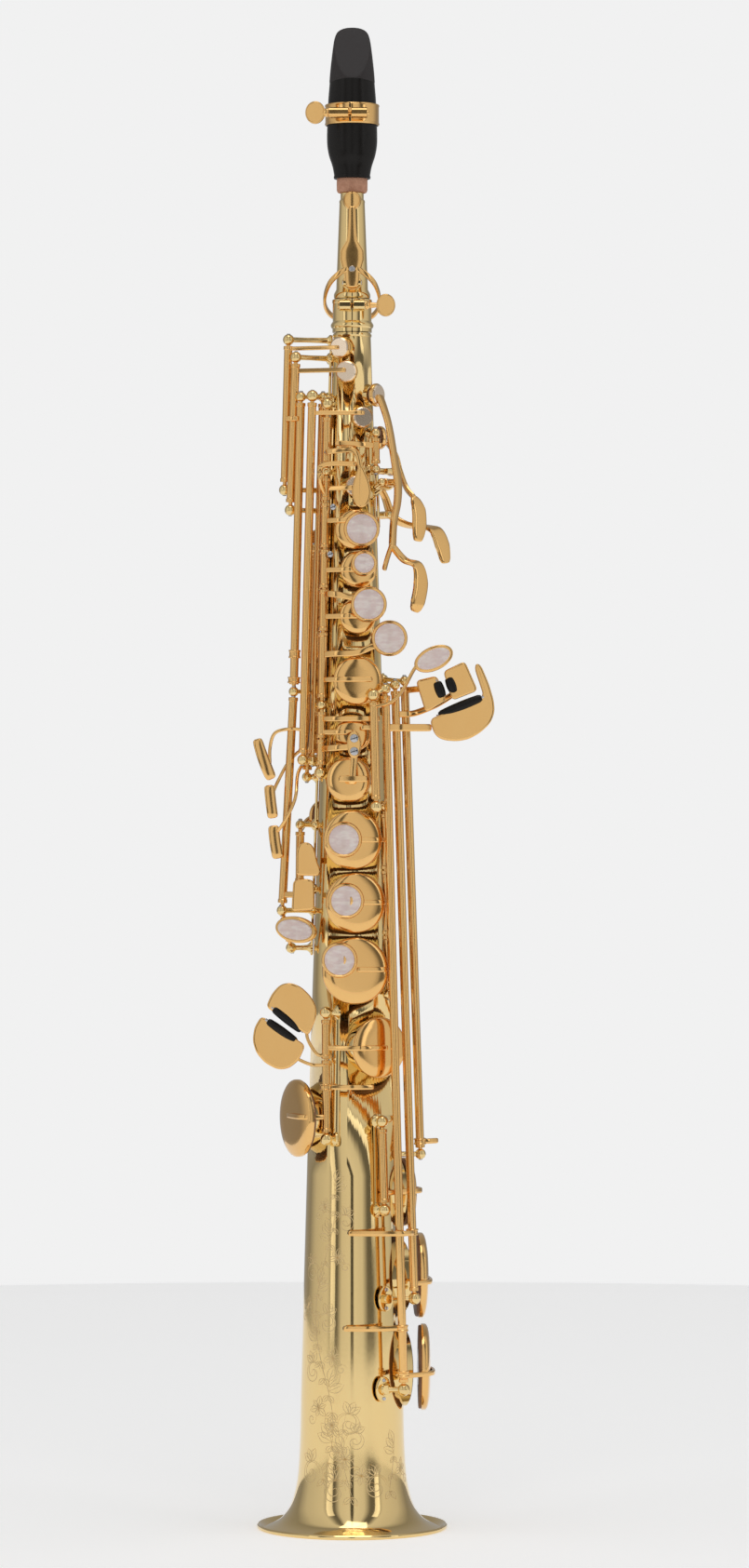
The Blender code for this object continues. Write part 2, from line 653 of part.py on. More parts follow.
def flange_post(name, place, phi, radius=3.0, stem=1.5):
    """One post on a wide oval flange, its stem level, its ball at the end of a long lever."""
    place = Vector(place)
    foot = around(phi, tube_radius(place.z) + GAP + 0.5, place.z)
    face = outward(phi)
    disc = lathe([(0.0, 0.5), (4.2, 0.5), (4.9, -0.1), (4.9, -0.5), (0.0, -0.5)], (0, 0, 0),
                 (0, 0, 1), 16)
    disc.transform(Matrix.Translation(foot + face * 1.6) @ aim((0, 0, 0), face)
                   @ Matrix.Diagonal((0.9, 0.9, 1.0, 1.0)))
    solids = [disc, ball(place, radius), rod(foot + face * 1.0, place, stem)]
    return add_part(name, solids, brass)


def c_sharp_rib():
    """A strip with the low C sharp key's posts, and a strap round to its lever's end post."""
    solids = [rib(33, 151.0, 200.5), strap(31, 76, 198.0), rib(74, 179.0, 199.5, 3.4)]
    solids += end_posts(C_SHARP, 33, 3.0, 1.7)
    solids += post(ROD_4[0], rib_point(74, ROD_4[0][2]), 2.6, 1.3)
    return add_part("low_c_sharp_rib", solids, brass)


def low_c_rib():
    solids = [rib(-20, 185.5, 252.0, 3.2)]
    solids += end_posts(LOW_C, -20, 3.0, 1.7)
    return add_part("low_c_rib", solids, brass)


def thumb_hook():
    """A curved hook for the right thumb on a soldered plate, behind the lower stack."""
    base = rib(180, 305.0, 333.0, 9.0)
    hook = arm([(0, 18.2, 321.0), (0, 25.0, 324.5), (0, 31.0, 323.5), (0, 36.0, 318.0),
                (0, 37.5, 310.0)], [9.0, 10.0, 11.0, 11.0, 9.0], 2.2, up=(1, 0, 0))
    return add_part("thumb_hook", [base, hook], brass)


def strap_ring():
    base = rib(180, 355.0, 371.0, 6.0)
    loop = lathe([(5.4, 1.3), (5.9, 0.0), (5.4, -1.3), (3.4, -1.3), (2.9, 0.0), (3.4, 1.3)],
                 (0, 22.4, 363.0), (1, 0, 0), 20, closed=True)
    return add_part("strap_ring", [base, loop], brass)


def thumb_rest():
    base = rib(163, 447.0, 461.0, 5.0)
    button = lathe([(0.0, 2.4), (4.0, 2.2), (5.6, 1.0), (5.8, 0.0), (0.0, 0.0)],
                   (4.4, 13.6, 454.0), (0, 1, 0), 16)
    return add_part("thumb_rest", [base, button], black)


# ---------------------------------------------------------------- keys

def key(name, line, solids, finish=gold, cuts=()):
    foot, direction = hinge(line)
    return add_part(name, solids, finish, cuts=cuts, origin=foot)


def cup_solids(name, line, arm_z, reach=0.0, width=ARM_W):
    """The cup of a key with the arm that carries it from the hinge over the cup's top."""
    cup = CUPS[name]
    pose = hinge(line)
    face = cup.rest(pose)[1]
    start = along(line, arm_z)
    top = cup.top(pose, reach, arm_z - cup.z)
    edge = cup.top(pose, 0, arm_z - cup.z) - face * 0.2
    out = start - edge
    flat = (out - face * out.dot(face))
    edge = edge + flat.normalized() * cup.radius * 0.8 + face * 0.9
    return [cup.mesh(pose), arm([start, edge, top + face * 0.9], width)]


def bezel(place, normal=(0, -1, 0), radius=PEARL_R):
    """A touch's pearl holder: its disc, centred on the pearl's back face."""
    return lathe([(0.0, 1.0), (radius - 1.1, 1.0), (radius - 0.9, PEARL_T), (radius, PEARL_T),
                  (radius, 0.4), (radius - 1.6, -0.6), (0.0, -0.6)], place, normal, 14)


def stack_keys():
    """The upper and the lower stack: cups, arms and the pearl holders that the fingers press."""
    u, w = UPPER_STACK, LOWER_STACK
    key("small_c_key", u, [hinge_tube(u, 494.6, 505.2), arm([along(u, 497.0), (-15.0, -20.0, 504.0),
        (-14.0, -20.4, 511.3), (2.2, -22.0, 511.8)], 2.4)]
        + cup_solids("small_c_key", u, 500.4))
    b_top = CUPS["b_key"].top(hinge(u), 3.0, 0.0)
    key("b_key", u, [hinge_tube(u, 472.0, 493.4), bezel((4.7, b_top.y - 1.6, 480.5)),
        rod(b_top, (4.7, b_top.y - 1.4, 480.5), 3.4)] + cup_solids("b_key", u, 484.9))
    bis_top = CUPS["bis_key"].top(hinge(u), 2.0, 2.0)
    key("bis_key", u, [hinge_tube(u, 452.6, 471.0), bezel((5.9, bis_top.y - 2.2, 464.1), radius=6.2),
        rod(bis_top, (5.9, bis_top.y - 2.0, 464.1), 3.0)] + cup_solids("bis_key", u, 461.2))
    a_depth = CUPS["a_key"].top(hinge(u)).y - 3.4
    key("a_key", u, [hinge_tube(u, 432.0, 451.8), bezel((8.1, a_depth, 444.4)),
        arm([along(u, 449.6), (-9.0, a_depth + 1.6, 449.4), (1.0, a_depth + 0.2, 447.5),
             (8.0, a_depth, 444.6)], 3.0)] + cup_solids("a_key", u, 438.9))
    g_depth = CUPS["g_key"].top(hinge(u)).y - 1.0
    key("g_key", u, [hinge_tube(u, 400.0, 431.2), bezel((18.0, g_depth, 428.2)),
        arm([along(u, 420.6), (-8.0, g_depth + 2.4, 421.0), (2.0, g_depth, 421.4),
             (10.0, g_depth, 424.4), (16.0, g_depth, 427.0)], 3.0)]
        + cup_solids("g_key", u, 408.6, reach=7.0))
    gs_top = CUPS["g_sharp_key"].top(hinge(u))
    key("g_sharp_key", u, [hinge_tube(u, 380.6, 393.2), arm([along(u, 389.8),
        (-9.0, -22.5, 389.8), (2.0, -24.6, 389.8), (13.4, -24.0, 389.8)], 2.6)]
        + cup_solids("g_sharp_key", u, 383.4))
    plate_y = gs_top.y - 5.8
    key("f_sharp_key", u, [hinge_tube(u, 367.8, 379.9), arm([along(u, 375.4),
        (-9.0, plate_y + 2.0, 375.8), (-3.0, plate_y, 376.2), (1.1, plate_y, 376.6)], 3.0, 1.8),
        plate(ellipse(3.6, 6.8, 0, (1.1, 377.4), 12), plate_y, thickness=1.8),
        arm([(1.1, plate_y, 372.0), (0.6, plate_y - 0.6, 366.0), (0.2, plate_y - 0.8, 360.6)],
            3.4, 1.8, up=(1, 0, 0)),
        CUPS["f_sharp_key"].mesh(hinge(u)),
        rod(CUPS["f_sharp_key"].top(hinge(u)), (0.2, plate_y - 0.8, 360.6), 2.2),
        box((0.6, plate_y - 0.8, 361.0), (14.0, 1.8, 2.8))])
    for name, arm_z, z_low, z_high, pearl_at in (
            ("f_key", 331.9, 317.8, 344.3, (-3.8, 332.1)), ("e_key", 302.0, 286.6, 317.1, (-2.7, 302.9)),
            ("d_key", 270.0, 262.0, 285.9, (-5.9, 274.7))):
        cup = CUPS[name]
        top = cup.top(hinge(w), pearl_at[0], pearl_at[1] - cup.z)
        key(name, w, [hinge_tube(w, z_low, z_high), bezel((pearl_at[0], top.y - 1.6, pearl_at[1])),
            rod(top, (pearl_at[0], top.y - 1.4, pearl_at[1]), 4.4)]
            + cup_solids(name, w, arm_z, reach=4.0))


def high_keys():
    """The closed keys at the top of the tube and the levers that open them."""
    key("high_g_key", HIGH_G, [hinge_tube(HIGH_G, 504.0, 569.4)]
        + cup_solids("high_g_key", HIGH_G, 568.2, width=2.0))
    key("high_f_sharp_key", HIGH_FS, [hinge_tube(HIGH_FS, 494.0, 560.6)]
        + cup_solids("high_f_sharp_key", HIGH_FS, 557.2, width=2.2))
    key("high_f_sharp_rod", FS_ROD, [hinge_tube(FS_ROD, 406.4, 541.6), hinge_tube(FS_ROD, 407.0,
        410.0, 2.8), hinge_tube(FS_ROD, 419.0, 423.0, 2.6),
        arm([along(FS_ROD, 534.0), (-27.5, -14.4, 534.0), (-31.4, -12.6, 534.0)], 2.4)])
    key("high_f_sharp_lever", FS_LEVER, [hinge_tube(FS_LEVER, 301.4, 400.2),
        arm([along(FS_LEVER, 305.4), (-27.5, -12.0, 305.4), (-23.0, -14.5, 305.4)], 3.0),
        plate([(-29.0, 297.4), (-28.2, 312.6), (-21.0, 313.2), (-18.2, 311.8), (-17.8, 298.2)],
              -15.0, thickness=2.0)])
    key("high_g_lever", G_LEVER, [rod(along(G_LEVER, 283.0), along(G_LEVER, 294.2), 1.8),
        arm([along(G_LEVER, 288.6), (-29.5, -7.0, 288.6), (-26.8, -9.0, 288.6)], 4.0),
        plate(ellipse(11.2, 6.4, -8, count=18), 0, normal=outward(-28), thickness=2.6,
              at=(-26.8, -9.6, 288.6))])
    key("high_e_key", HIGH_E, [hinge_tube(HIGH_E, 373.6, 541.5), arm([along(HIGH_E, 384.5),
        (-30.0, -15.2, 385.0), (-37.0, -13.0, 383.0), (-39.4, -11.6, 376.0), (-39.4, -11.6, 368.0)],
        [2.6, 2.6, 3.0, 3.0, 3.0], up=(0, -1, 0)),
        arm([(-45.6, -11.6, 380.2), (-43.4, -12.2, 373.0), (-41.0, -12.2, 366.5),
             (-38.6, -11.6, 361.0)], [4.8, 5.4, 5.6, 5.2], 2.6, up=(1, 0, 0.3))]
        + cup_solids("high_e_key", HIGH_E, 536.6, width=2.0))
    key("side_c_key", SIDE_C, [hinge_tube(SIDE_C, 373.4, 541.5), arm([along(SIDE_C, 376.0),
        (-24.6, -5.2, 374.8), (-30.4, -4.8, 369.4), (-35.6, -6.4, 360.0), (-38.6, -9.6, 353.0)],
        2.6, up=(0, -1, 0)),
        arm([(-39.8, -10.4, 358.0), (-39.0, -10.8, 350.0), (-38.0, -10.4, 342.2)], 5.2, 2.6,
            up=(1, 0, 0))] + cup_solids("side_c_key", SIDE_C, 505.0))
    key("side_b_flat_key", SIDE_BB, [hinge_tube(SIDE_BB, 365.4, 468.8), arm([along(SIDE_BB, 371.0),
        (-26.0, -4.4, 364.0), (-27.2, -13.4, 352.0), (-31.6, -14.0, 342.0), (-35.6, -11.0, 336.0)],
        2.6, up=(0, -1, 0)),
        arm([(-37.8, -9.8, 338.6), (-37.0, -10.2, 331.0), (-35.6, -9.8, 322.8)], 5.4, 2.6,
            up=(1, 0, 0))] + cup_solids("side_b_flat_key", SIDE_BB, 450.0))
    key("f_sharp_trill_key", TRILL, [hinge_tube(TRILL, 311.4, 335.6), arm([along(TRILL, 322.0),
        (-25.4, -8.0, 322.0), (-23.4, -13.6, 322.0)], 3.0),
        plate([(-26.7, 314.6), (-26.7, 326.4), (-25.2, 330.4), (-20.4, 330.8), (-17.6, 327.0),
               (-16.8, 321.4), (-15.0, 317.4), (-15.6, 314.4)], -14.4, thickness=2.0),
        CUPS["f_sharp_trill_key"].mesh(hinge(TRILL)),
        arm([along(TRILL, 333.6), (-25.0, 5.0, 336.0), (-21.6, 13.2, 341.0),
             CUPS["f_sharp_trill_key"].top(hinge(TRILL)) + outward(-132) * 0.9], 2.6)])


def palm_keys():
    """Three seesaw levers on cross hinges, and the front lever with its link."""
    def palm(name, line, lever, widths, touch, touch_width, extra=()):
        low, high = Vector(line[0]), Vector(line[1])
        run = (high - low).normalized()
        barrel = rod(low + run * 2.3, high - run * 2.3, 1.9)
        over = min(lever, key=lambda p: abs(p[2] - low.z))
        up = run
        solids = [CUPS[name].mesh(hinge(line)), barrel,
                  rod((low + high) / 2, over, 1.7, segments=8), arm(lever, widths, 1.7, up=up),
                  arm(touch, touch_width, 2.4, up=(0.3, 1, 0))]
        key(name, line, solids + list(extra))

    f_top = CUPS["palm_f_key"].top(hinge(PALM_F), 0, 0, 0.2)
    palm("palm_f_key", PALM_F, [f_top, (17.4, -11.4, 532.0), (20.4, -12.6, 514.0),
         (22.0, -13.4, 503.4), (21.8, -13.6, 494.0), (20.0, -14.2, 484.0), (19.4, -14.6, 472.0)],
         [5.0, 3.0, 3.4, 4.6, 3.6, 3.2, 4.0],
         [(19.2, -14.6, 473.0), (25.0, -15.0, 466.2), (31.4, -15.2, 463.2), (33.0, -15.2, 455.0),
          (31.6, -15.2, 446.0), (29.8, -14.8, 441.2)], [3.4, 4.0, 6.0, 8.0, 8.0, 5.0],
         [arm([(19.3, -14.6, 474.0), (17.0, -16.6, 467.0), (15.4, -18.0, 461.0)], 3.0, 2.0,
              up=(0.3, 1, 0))])
    eb_top = CUPS["palm_e_flat_key"].top(hinge(PALM_EB), 0, 0, 0.2)
    palm("palm_e_flat_key", PALM_EB, [eb_top, (20.8, 5.8, 518.0), (23.2, 4.0, 509.5),
         (26.4, 0.0, 501.0), (30.6, -3.6, 496.0)], [5.0, 3.0, 4.4, 3.4, 4.0],
         [(29.6, -3.2, 497.0), (32.0, -4.8, 491.0), (32.4, -5.0, 483.0), (31.6, -5.0, 475.4)],
         [4.0, 7.6, 8.0, 5.0])
    d_top = CUPS["palm_d_key"].top(hinge(PALM_D), 0, 0, 0.2)
    palm("palm_d_key", PALM_D, [d_top, (15.4, 17.6, 499.0), (19.2, 17.2, 489.0),
         (26.0, 14.0, 484.6), (35.0, 10.0, 483.0)], [5.0, 3.2, 4.6, 3.4, 4.0],
         [(34.0, 10.2, 483.4), (40.4, 9.0, 481.0), (43.6, 8.6, 474.0), (45.2, 8.4, 465.4)],
         [4.0, 8.0, 8.4, 5.0])
    key("high_f_link", F_LINK, [hinge_tube(F_LINK, 512.4, 524.6, 1.9), arm([(14.6, -14.0, 521.0),
        along(F_LINK, 521.2), (4.0, -17.4, 521.4), (-8.0, -18.4, 521.8)], 2.7, 1.5)])
    u = UPPER_STACK
    key("front_f_lever", u, [hinge_tube(u, 511.6, 534.4), arm([along(u, 517.0),
        (-11.0, -21.0, 517.4), (-4.0, -24.8, 517.4), (1.6, -26.0, 516.4)], 2.6),
        arm([(1.0, -26.0, 517.2), (2.8, -26.2, 512.0), (4.2, -26.4, 507.0), (4.8, -26.4, 499.0),
             (5.0, -26.2, 490.2)], [3.0, 3.6, 6.6, 9.4, 2.4], 2.0, up=(1, 0, 0))])


# ---------------------------------------------------------------- little-finger keys

def roller_cut(start, end, radius):
    start, end = Vector(start), Vector(end)
    run = (end - start).normalized()
    return rod(start - run * 0.6, end + run * 0.6, radius + 0.5, segments=12)


ROLLERS = {
    "low_e_flat_roller": ((-37.6, -20.4, 251.0), (-24.2, -20.4, 240.6), 1.7),
    "low_c_roller": ((-40.4, -20.4, 245.2), (-26.6, -20.4, 235.2), 1.7),
    "low_c_sharp_roller": ((40.6, -24.6, 407.4), (43.2, -24.6, 400.0), 2.0),
    "low_b_roller": ((46.2, -24.6, 409.4), (49.0, -24.6, 402.2), 2.0),
    "low_b_flat_roller": ((41.6, -24.6, 391.4), (62.0, -24.6, 399.9), 1.9),
}


def rollers():
    for name, (start, end, radius) in ROLLERS.items():
        start, end = Vector(start), Vector(end)
        half = (end - start).length / 2
        profile = ((0.0, half), (0.74 * radius, half), (radius, 0.0), (0.74 * radius, -half),
                   (0.0, -half))
        add_part(name, [lathe(profile, (start + end) / 2, end - start, 12)], black,
                 origin=(start + end) / 2)


def collar(line, z):
    return hinge_tube(line, z - 1.5, z + 1.5, 2.7)


def cut_for(*names):
    return [roller_cut(*ROLLERS[name]) for name in names]


def low_keys():
    """The little fingers' keys: long levers on the right, the side keys on the left."""
    key("g_sharp_lever", ROD_1, [hinge_tube(ROD_1, 351.3, 397.7), arm([along(ROD_1, 395.4),
        (18.4, -31.0, 397.4), (24.0, -30.0, 403.0), (29.9, -28.8, 413.6), (33.4, -28.0, 416.8)],
        [3.0, 3.0, 3.0, 3.4, 4.0], up=(0, -1, 0.2)),
        arm([along(ROD_1, 385.6), (8.4, -28.4, 385.6), (4.4, -27.6, 385.6)], 2.4),
        plate(ellipse(10.0, 5.8, 25, (39.0, 418.4), 18), -28.4, thickness=2.6)])
    key("low_b_flat_key", ROD_2, [hinge_tube(ROD_2, 72.6, 400.8), collar(ROD_2, 98.5), collar(ROD_2, 76.6),
        arm([along(ROD_2, 385.5), (24.0, -26.4, 385.5), (38.0, -24.8, 385.5)], 3.6, 1.8),
        plate([(37.3, 389.6), (63.0, 400.7), (58.4, 416.6), (61.2, 414.4), (65.2, 406.0),
               (67.9, 398.4), (68.3, 393.0), (66.2, 387.6), (61.5, 383.2), (56.0, 380.0),
               (50.2, 378.9), (44.0, 379.4), (40.4, 381.1), (38.2, 385.0)], -24.6, thickness=2.0),
        arm([along(ROD_2, 98.5), (20.0, -25.4, 98.5), (10.0, -28.6, 98.5), (0.0, -28.0, 98.5),
             (-3.8, -27.0, 98.5)], 2.6)]
        + cup_solids("low_b_flat_key", ROD_2, 75.6, reach=2.0), cuts=cut_for("low_b_flat_roller"))
    key("low_b_key", ROD_3, [hinge_tube(ROD_3, 115.8, 403.1), collar(ROD_3, 144.0),
        arm([along(ROD_3, 392.0), (26.5, -20.8, 392.0), (31.5, -18.0, 393.0), (41.0, -15.4, 397.0),
             (50.0, -14.6, 403.0), (52.4, -20.0, 407.0), (52.4, -24.4, 408.4)], 3.0, 1.6),
        plate([(43.6, 412.4), (54.0, 417.4), (60.2, 403.2), (48.0, 398.4)], -24.6, thickness=2.0),
        arm([along(ROD_3, 144.0), (28.6, -23.4, 144.0), (25.2, -27.8, 144.0), (20.0, -28.8, 144.0),
             (8.0, -28.2, 144.0), (-1.6, -26.4, 144.0)], 2.6)]
        + cup_solids("low_b_key", ROD_3, 119.2, reach=2.0), cuts=cut_for("low_b_roller"))
    key("low_c_sharp_lever", ROD_4, [hinge_tube(ROD_4, 183.6, 405.2), collar(ROD_4, 186.6),
        arm([along(ROD_4, 403.4), (31.0, -19.6, 404.0), (37.0, -24.4, 404.0)], 3.0, 1.8),
        plate([(30.5, 408.0), (40.6, 410.4), (45.2, 398.6), (35.2, 392.6)], -24.6, thickness=2.0),
        arm([along(ROD_4, 186.6), (37.6, -3.4, 186.6), (41.2, 0.4, 186.6)], 2.6)],
        cuts=cut_for("low_c_sharp_roller"))
    cup = CUPS["low_c_sharp_key"]
    pose = hinge(C_SHARP)
    top = cup.top(pose)
    key("low_c_sharp_key", C_SHARP, [hinge_tube(C_SHARP, 158.4, 193.6), cup.mesh(pose),
        arm([along(C_SHARP, 163.0), (19.0, -19.2, 163.0), (24.0, -14.4, 163.0),
             (28.2, -11.6, 163.0), (31.0, -9.4, 163.0), (33.0, -3.0, 163.0), top + outward(cup.phi) * 0.9 + Vector((0, 0, 1.5))],
            2.6)])
    key("low_e_flat_key", LOW_C, [hinge_tube(LOW_C, 227.2, 245.8), arm([along(LOW_C, 229.3),
        (-16.6, -22.0, 229.3), (-21.0, -20.4, 236.0), (-21.8, -20.2, 242.0)], 2.8, up=(0, -1, 0)),
        plate([(-41.2, 251.9), (-38.4, 258.2), (-34.4, 262.6), (-29.6, 263.6), (-24.4, 261.6),
               (-19.6, 257.0), (-16.8, 251.6), (-17.2, 246.4), (-20.7, 238.0)], -20.4,
              thickness=2.2)] + cup_solids("low_e_flat_key", LOW_C, 232.4, reach=3.0),
        cuts=cut_for("low_e_flat_roller"))
    key("low_c_key", LOW_C, [hinge_tube(LOW_C, 192.1, 226.4), hinge_tube(LOW_C, 212.0, 215.2, 2.9),
        arm([along(LOW_C, 224.3), (-19.0, -22.6, 224.3), (-26.0, -21.0, 227.0),
             (-30.0, -20.4, 230.0)], 2.6, up=(0, -1, 0)),
        plate([(-47.6, 235.6), (-46.8, 242.0), (-43.4, 247.6), (-22.2, 233.6), (-25.4, 226.2),
               (-30.2, 222.4), (-35.4, 221.8), (-41.6, 225.0), (-45.8, 229.8)], -20.4,
              thickness=2.2),
        arm([along(LOW_C, 213.6), (-4.0, -24.6, 213.6), (4.0, -24.6, 213.6), (10.4, -22.0, 213.6)],
            2.4)] + cup_solids("low_c_key", LOW_C, 199.3, reach=-3.0),
        cuts=cut_for("low_c_roller"))


def octave_keys():
    key("octave_thumb_lever", OCTAVE, [hinge_tube(OCTAVE, 471.4, 558.6),
        arm([along(OCTAVE, 476.0), (-10.4, 20.4, 476.0), (-15.0, 20.6, 476.0)], 3.4, 1.8),
        lathe([(0.0, 1.4), (5.2, 1.2), (7.0, 0.0), (6.4, -1.2), (0.0, -1.2)], (-15.4, 20.8, 476.0),
              (0, 1, 0), 14),
        arm([along(OCTAVE, 556.0), (-2.4, 17.0, 557.4), (-0.6, 14.0, 565.0), (0, 11.4, 572.0),
             (0, 11.4, 587.0)], 1.8, 1.7, up=(0.2, 1, 0))])
    face = outward(OCTAVE_PIP[0])
    pad = around(OCTAVE_PIP[0], 13.4, OCTAVE_PIP[1])
    barrel = rod((0.7, 15.8, 543.0), (6.1, 15.8, 543.0), 1.7)
    key("body_octave_key", OCTAVE_PAD, [barrel, lathe([(0.0, 2.0), (3.0, 1.7), (3.4, 0.0),
        (0.0, 0.0)], pad, face, 14), arm([(3.4, 17.0, 541.6), (3.4, 17.2, 546.0),
        pad + face * 2.4 + Vector((0, 0, 0.4))], 3.0, 1.5, up=(1, 0, 0)),
        arm([(3.4, 16.6, 543.6), (3.4, 18.6, 537.0), (0.0, 18.8, 531.0)], 3.0, 1.5, up=(1, 0, 0))])


# ---------------------------------------------------------------- build

body_tube()
neck_receiver()
neck_clamp_screw()
neck_tube()
neck_cork()
mouthpiece()
reed()
ligature()
ligature_screw()
neck_octave_key()
left_rib()
upper_stack_rib()
lower_stack_rib()
palm_key_rib()
pinky_table_post()
c_sharp_rib()
flange_post("low_b_post", ROD_3[0], 39, stem=1.0)
flange_post("low_b_flat_post", ROD_2[0], 34)
low_c_rib()
thumb_hook()
strap_ring()
thumb_rest()
stack_keys()
high_keys()
palm_keys()
low_keys()
octave_keys()
rollers()

CUTTERS.hide_render = True
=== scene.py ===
# %% [markdown]
# # A straight soprano saxophone
# The instrument is one lacquered brass cone with a flared bell, a short neck and a black
# mouthpiece. Two dozen padded keys lie over its tone holes. The solids that can move were packed
# first and are loaded here as a fixed frame. This lesson draws the surfaces that the eye sees
# around them: turned tubes, rounded touches, leather pads, pearls and small steel screws.

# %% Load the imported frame
import json
from math import cos, degrees, pi, radians, sin, sqrt, tau

import bmesh
import bpy
from mathutils import Matrix, Vector


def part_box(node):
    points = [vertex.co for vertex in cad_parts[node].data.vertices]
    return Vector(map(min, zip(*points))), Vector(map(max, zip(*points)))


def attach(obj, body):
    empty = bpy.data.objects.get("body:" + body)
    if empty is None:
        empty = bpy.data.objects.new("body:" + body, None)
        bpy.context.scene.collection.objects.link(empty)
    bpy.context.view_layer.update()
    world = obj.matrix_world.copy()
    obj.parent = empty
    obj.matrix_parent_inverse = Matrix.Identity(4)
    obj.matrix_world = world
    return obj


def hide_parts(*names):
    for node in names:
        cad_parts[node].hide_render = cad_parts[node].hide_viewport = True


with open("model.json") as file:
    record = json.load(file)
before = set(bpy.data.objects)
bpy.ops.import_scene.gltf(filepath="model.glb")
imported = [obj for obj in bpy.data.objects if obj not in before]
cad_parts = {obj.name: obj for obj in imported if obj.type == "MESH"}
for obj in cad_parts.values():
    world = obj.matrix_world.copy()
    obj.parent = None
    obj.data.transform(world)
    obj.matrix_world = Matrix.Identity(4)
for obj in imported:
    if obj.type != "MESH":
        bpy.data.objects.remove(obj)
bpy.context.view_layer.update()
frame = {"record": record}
BODY_OF = {node: body for body, nodes in frame["record"]["behaviour"]["bodies"].items()
           for node in nodes}

# %% [markdown]
# Every place on a saxophone is easiest to say as a height and an angle round the tube. So all
# sizes here are millimetres from the tube's own axis, and one matrix carries them to the frame.
# The axis is found from the tube's box, because the round bell is the widest thing on it.

# %% Places round the tube
MM = 0.001
low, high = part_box("body_tube")
AXIS_X = (low.x + high.x) / 2
TO_FRAME = Matrix.Translation((AXIS_X, 0.0, 0.0)) @ Matrix.Scale(MM, 4)
TUBE_TOP = high.z / MM
TUBE_PROFILE = (
    (0.0, 44.6), (1.0, 41.0), (3.2, 36.0), (6.3, 32.6), (11.0, 29.6), (18.5, 27.4),
    (28.0, 26.0), (45.0, 25.1), (63.0, 24.8), (171.0, 21.8), (261.0, 19.1), (576.0, 8.95),
)
WALL = 1.1
GAP = 0.35
FRONT = (0, -1, 0)


def tube_radius(z):
    for (z0, r0), (z1, r1) in zip(TUBE_PROFILE, TUBE_PROFILE[1:]):
        if z <= z1:
            return r0 + (r1 - r0) * (z - z0) / (z1 - z0)
    return TUBE_PROFILE[-1][1]


def outward(phi):
    """The level direction at an angle round the tube: 0 is the front, 90 the right."""
    return Vector((sin(radians(phi)), -cos(radians(phi)), 0.0))


def around(phi, radius, z):
    return outward(phi) * radius + Vector((0.0, 0.0, z))


def along(line, z):
    """The point of a line between two points at a height."""
    low, high = Vector(line[0]), Vector(line[1])
    return low.lerp(high, (z - low.z) / (high.z - low.z))


print(f"tube axis at x = {AXIS_X / MM:.1f} mm, tube top at {TUBE_TOP:.1f} mm")

# %% [markdown]
# A finish is a set of connected nodes. Wrapping a socket in a small class lets the maths between
# nodes read like ordinary sums, and one method adds every other kind of node.

# %% Shader helpers
def feed(tree, socket, value):
    if isinstance(value, Signal):
        tree.links.new(value.socket, socket)
    else:
        socket.default_value = value


class Signal:
    """A value that varies over a surface; arithmetic on it adds Math nodes."""

    def __init__(self, tree, socket):
        self.tree = tree
        self.socket = socket

    def maths(self, operation, first, second):
        node = self.tree.nodes.new("ShaderNodeMath")
        node.operation = operation
        feed(self.tree, node.inputs[0], first)
        feed(self.tree, node.inputs[1], second)
        return Signal(self.tree, node.outputs[0])

    def __add__(self, other):
        return self.maths("ADD", self, other)

    __radd__ = __add__

    def __sub__(self, other):
        return self.maths("SUBTRACT", self, other)

    def __rsub__(self, other):
        return self.maths("SUBTRACT", other, self)

    def __mul__(self, other):
        return self.maths("MULTIPLY", self, other)

    __rmul__ = __mul__


class Finish:
    """A material under construction: its shader, and one method for any other node."""

    def __init__(self, name, **constants):
        self.material = bpy.data.materials.new(name)
        self.material.use_nodes = True
        self.tree = self.material.node_tree
        self.shader = self.tree.nodes["Principled BSDF"]
        for socket, value in constants.items():
            self.shader.inputs[socket.replace("_", " ").title()].default_value = value

    def node(self, kind, settings, inputs, output=0):
        made = self.tree.nodes.new(kind)
        for key, value in settings.items():
            if key == "stops":
                for element, (place, colour) in zip(made.color_ramp.elements, value):
                    element.position = place
                    element.color = colour
            else:
                setattr(made, key, value)
        for socket, value in inputs.items():
            feed(self.tree, made.inputs[socket], value)
        return Signal(self.tree, made.outputs[output])

    def place(self):
        return self.node("ShaderNodeTexCoord", {}, {}, 3)

    def noise(self, scale, detail=3.0, stretch=(1.0, 1.0, 1.0)):
        spread = self.node("ShaderNodeMapping", {}, {"Vector": self.place(), "Scale": stretch})
        return self.node("ShaderNodeTexNoise", {}, {"Vector": spread, "Scale": scale,
                                                    "Detail": detail})

    def blend(self, share, first, second):
        return self.node("ShaderNodeMix", {"data_type": "RGBA"},
                         {0: share, 6: first, 7: second}, 2)

    def colour(self, share, first, second):
        self.set("Base Color", self.blend(share, first, second))

    def bump(self, height, strength, distance=0.0001):
        normal = self.node("ShaderNodeBump", {}, {"Height": height, "Strength": strength,
                                                  "Distance": distance})
        feed(self.tree, self.shader.inputs["Normal"], normal)

    def set(self, socket, value):
        feed(self.tree, self.shader.inputs[socket], value)


# %% [markdown]
# Lacquered brass is bright metal under a clear coat. The coat is never quite even, so its gloss
# drifts a little, and the metal is a touch redder where the lacquer is thick. The keys have a
# warmer gold lacquer than the tube, so one function makes both.

# %% Brass finishes
def lacquer(name, pale, deep, gloss):
    finish = Finish(name, metallic=1.0, coat_weight=0.35, coat_roughness=0.04)
    drift = finish.noise(38.0, 4.0, (1.0, 1.0, 0.35))
    finish.colour(drift, pale, deep)
    haze = finish.noise(420.0, 5.0)
    finish.set("Roughness", haze * 0.04 + gloss)
    finish.bump(finish.noise(900.0, 2.0, (1.0, 1.0, 0.2)), 0.02)
    return finish.material


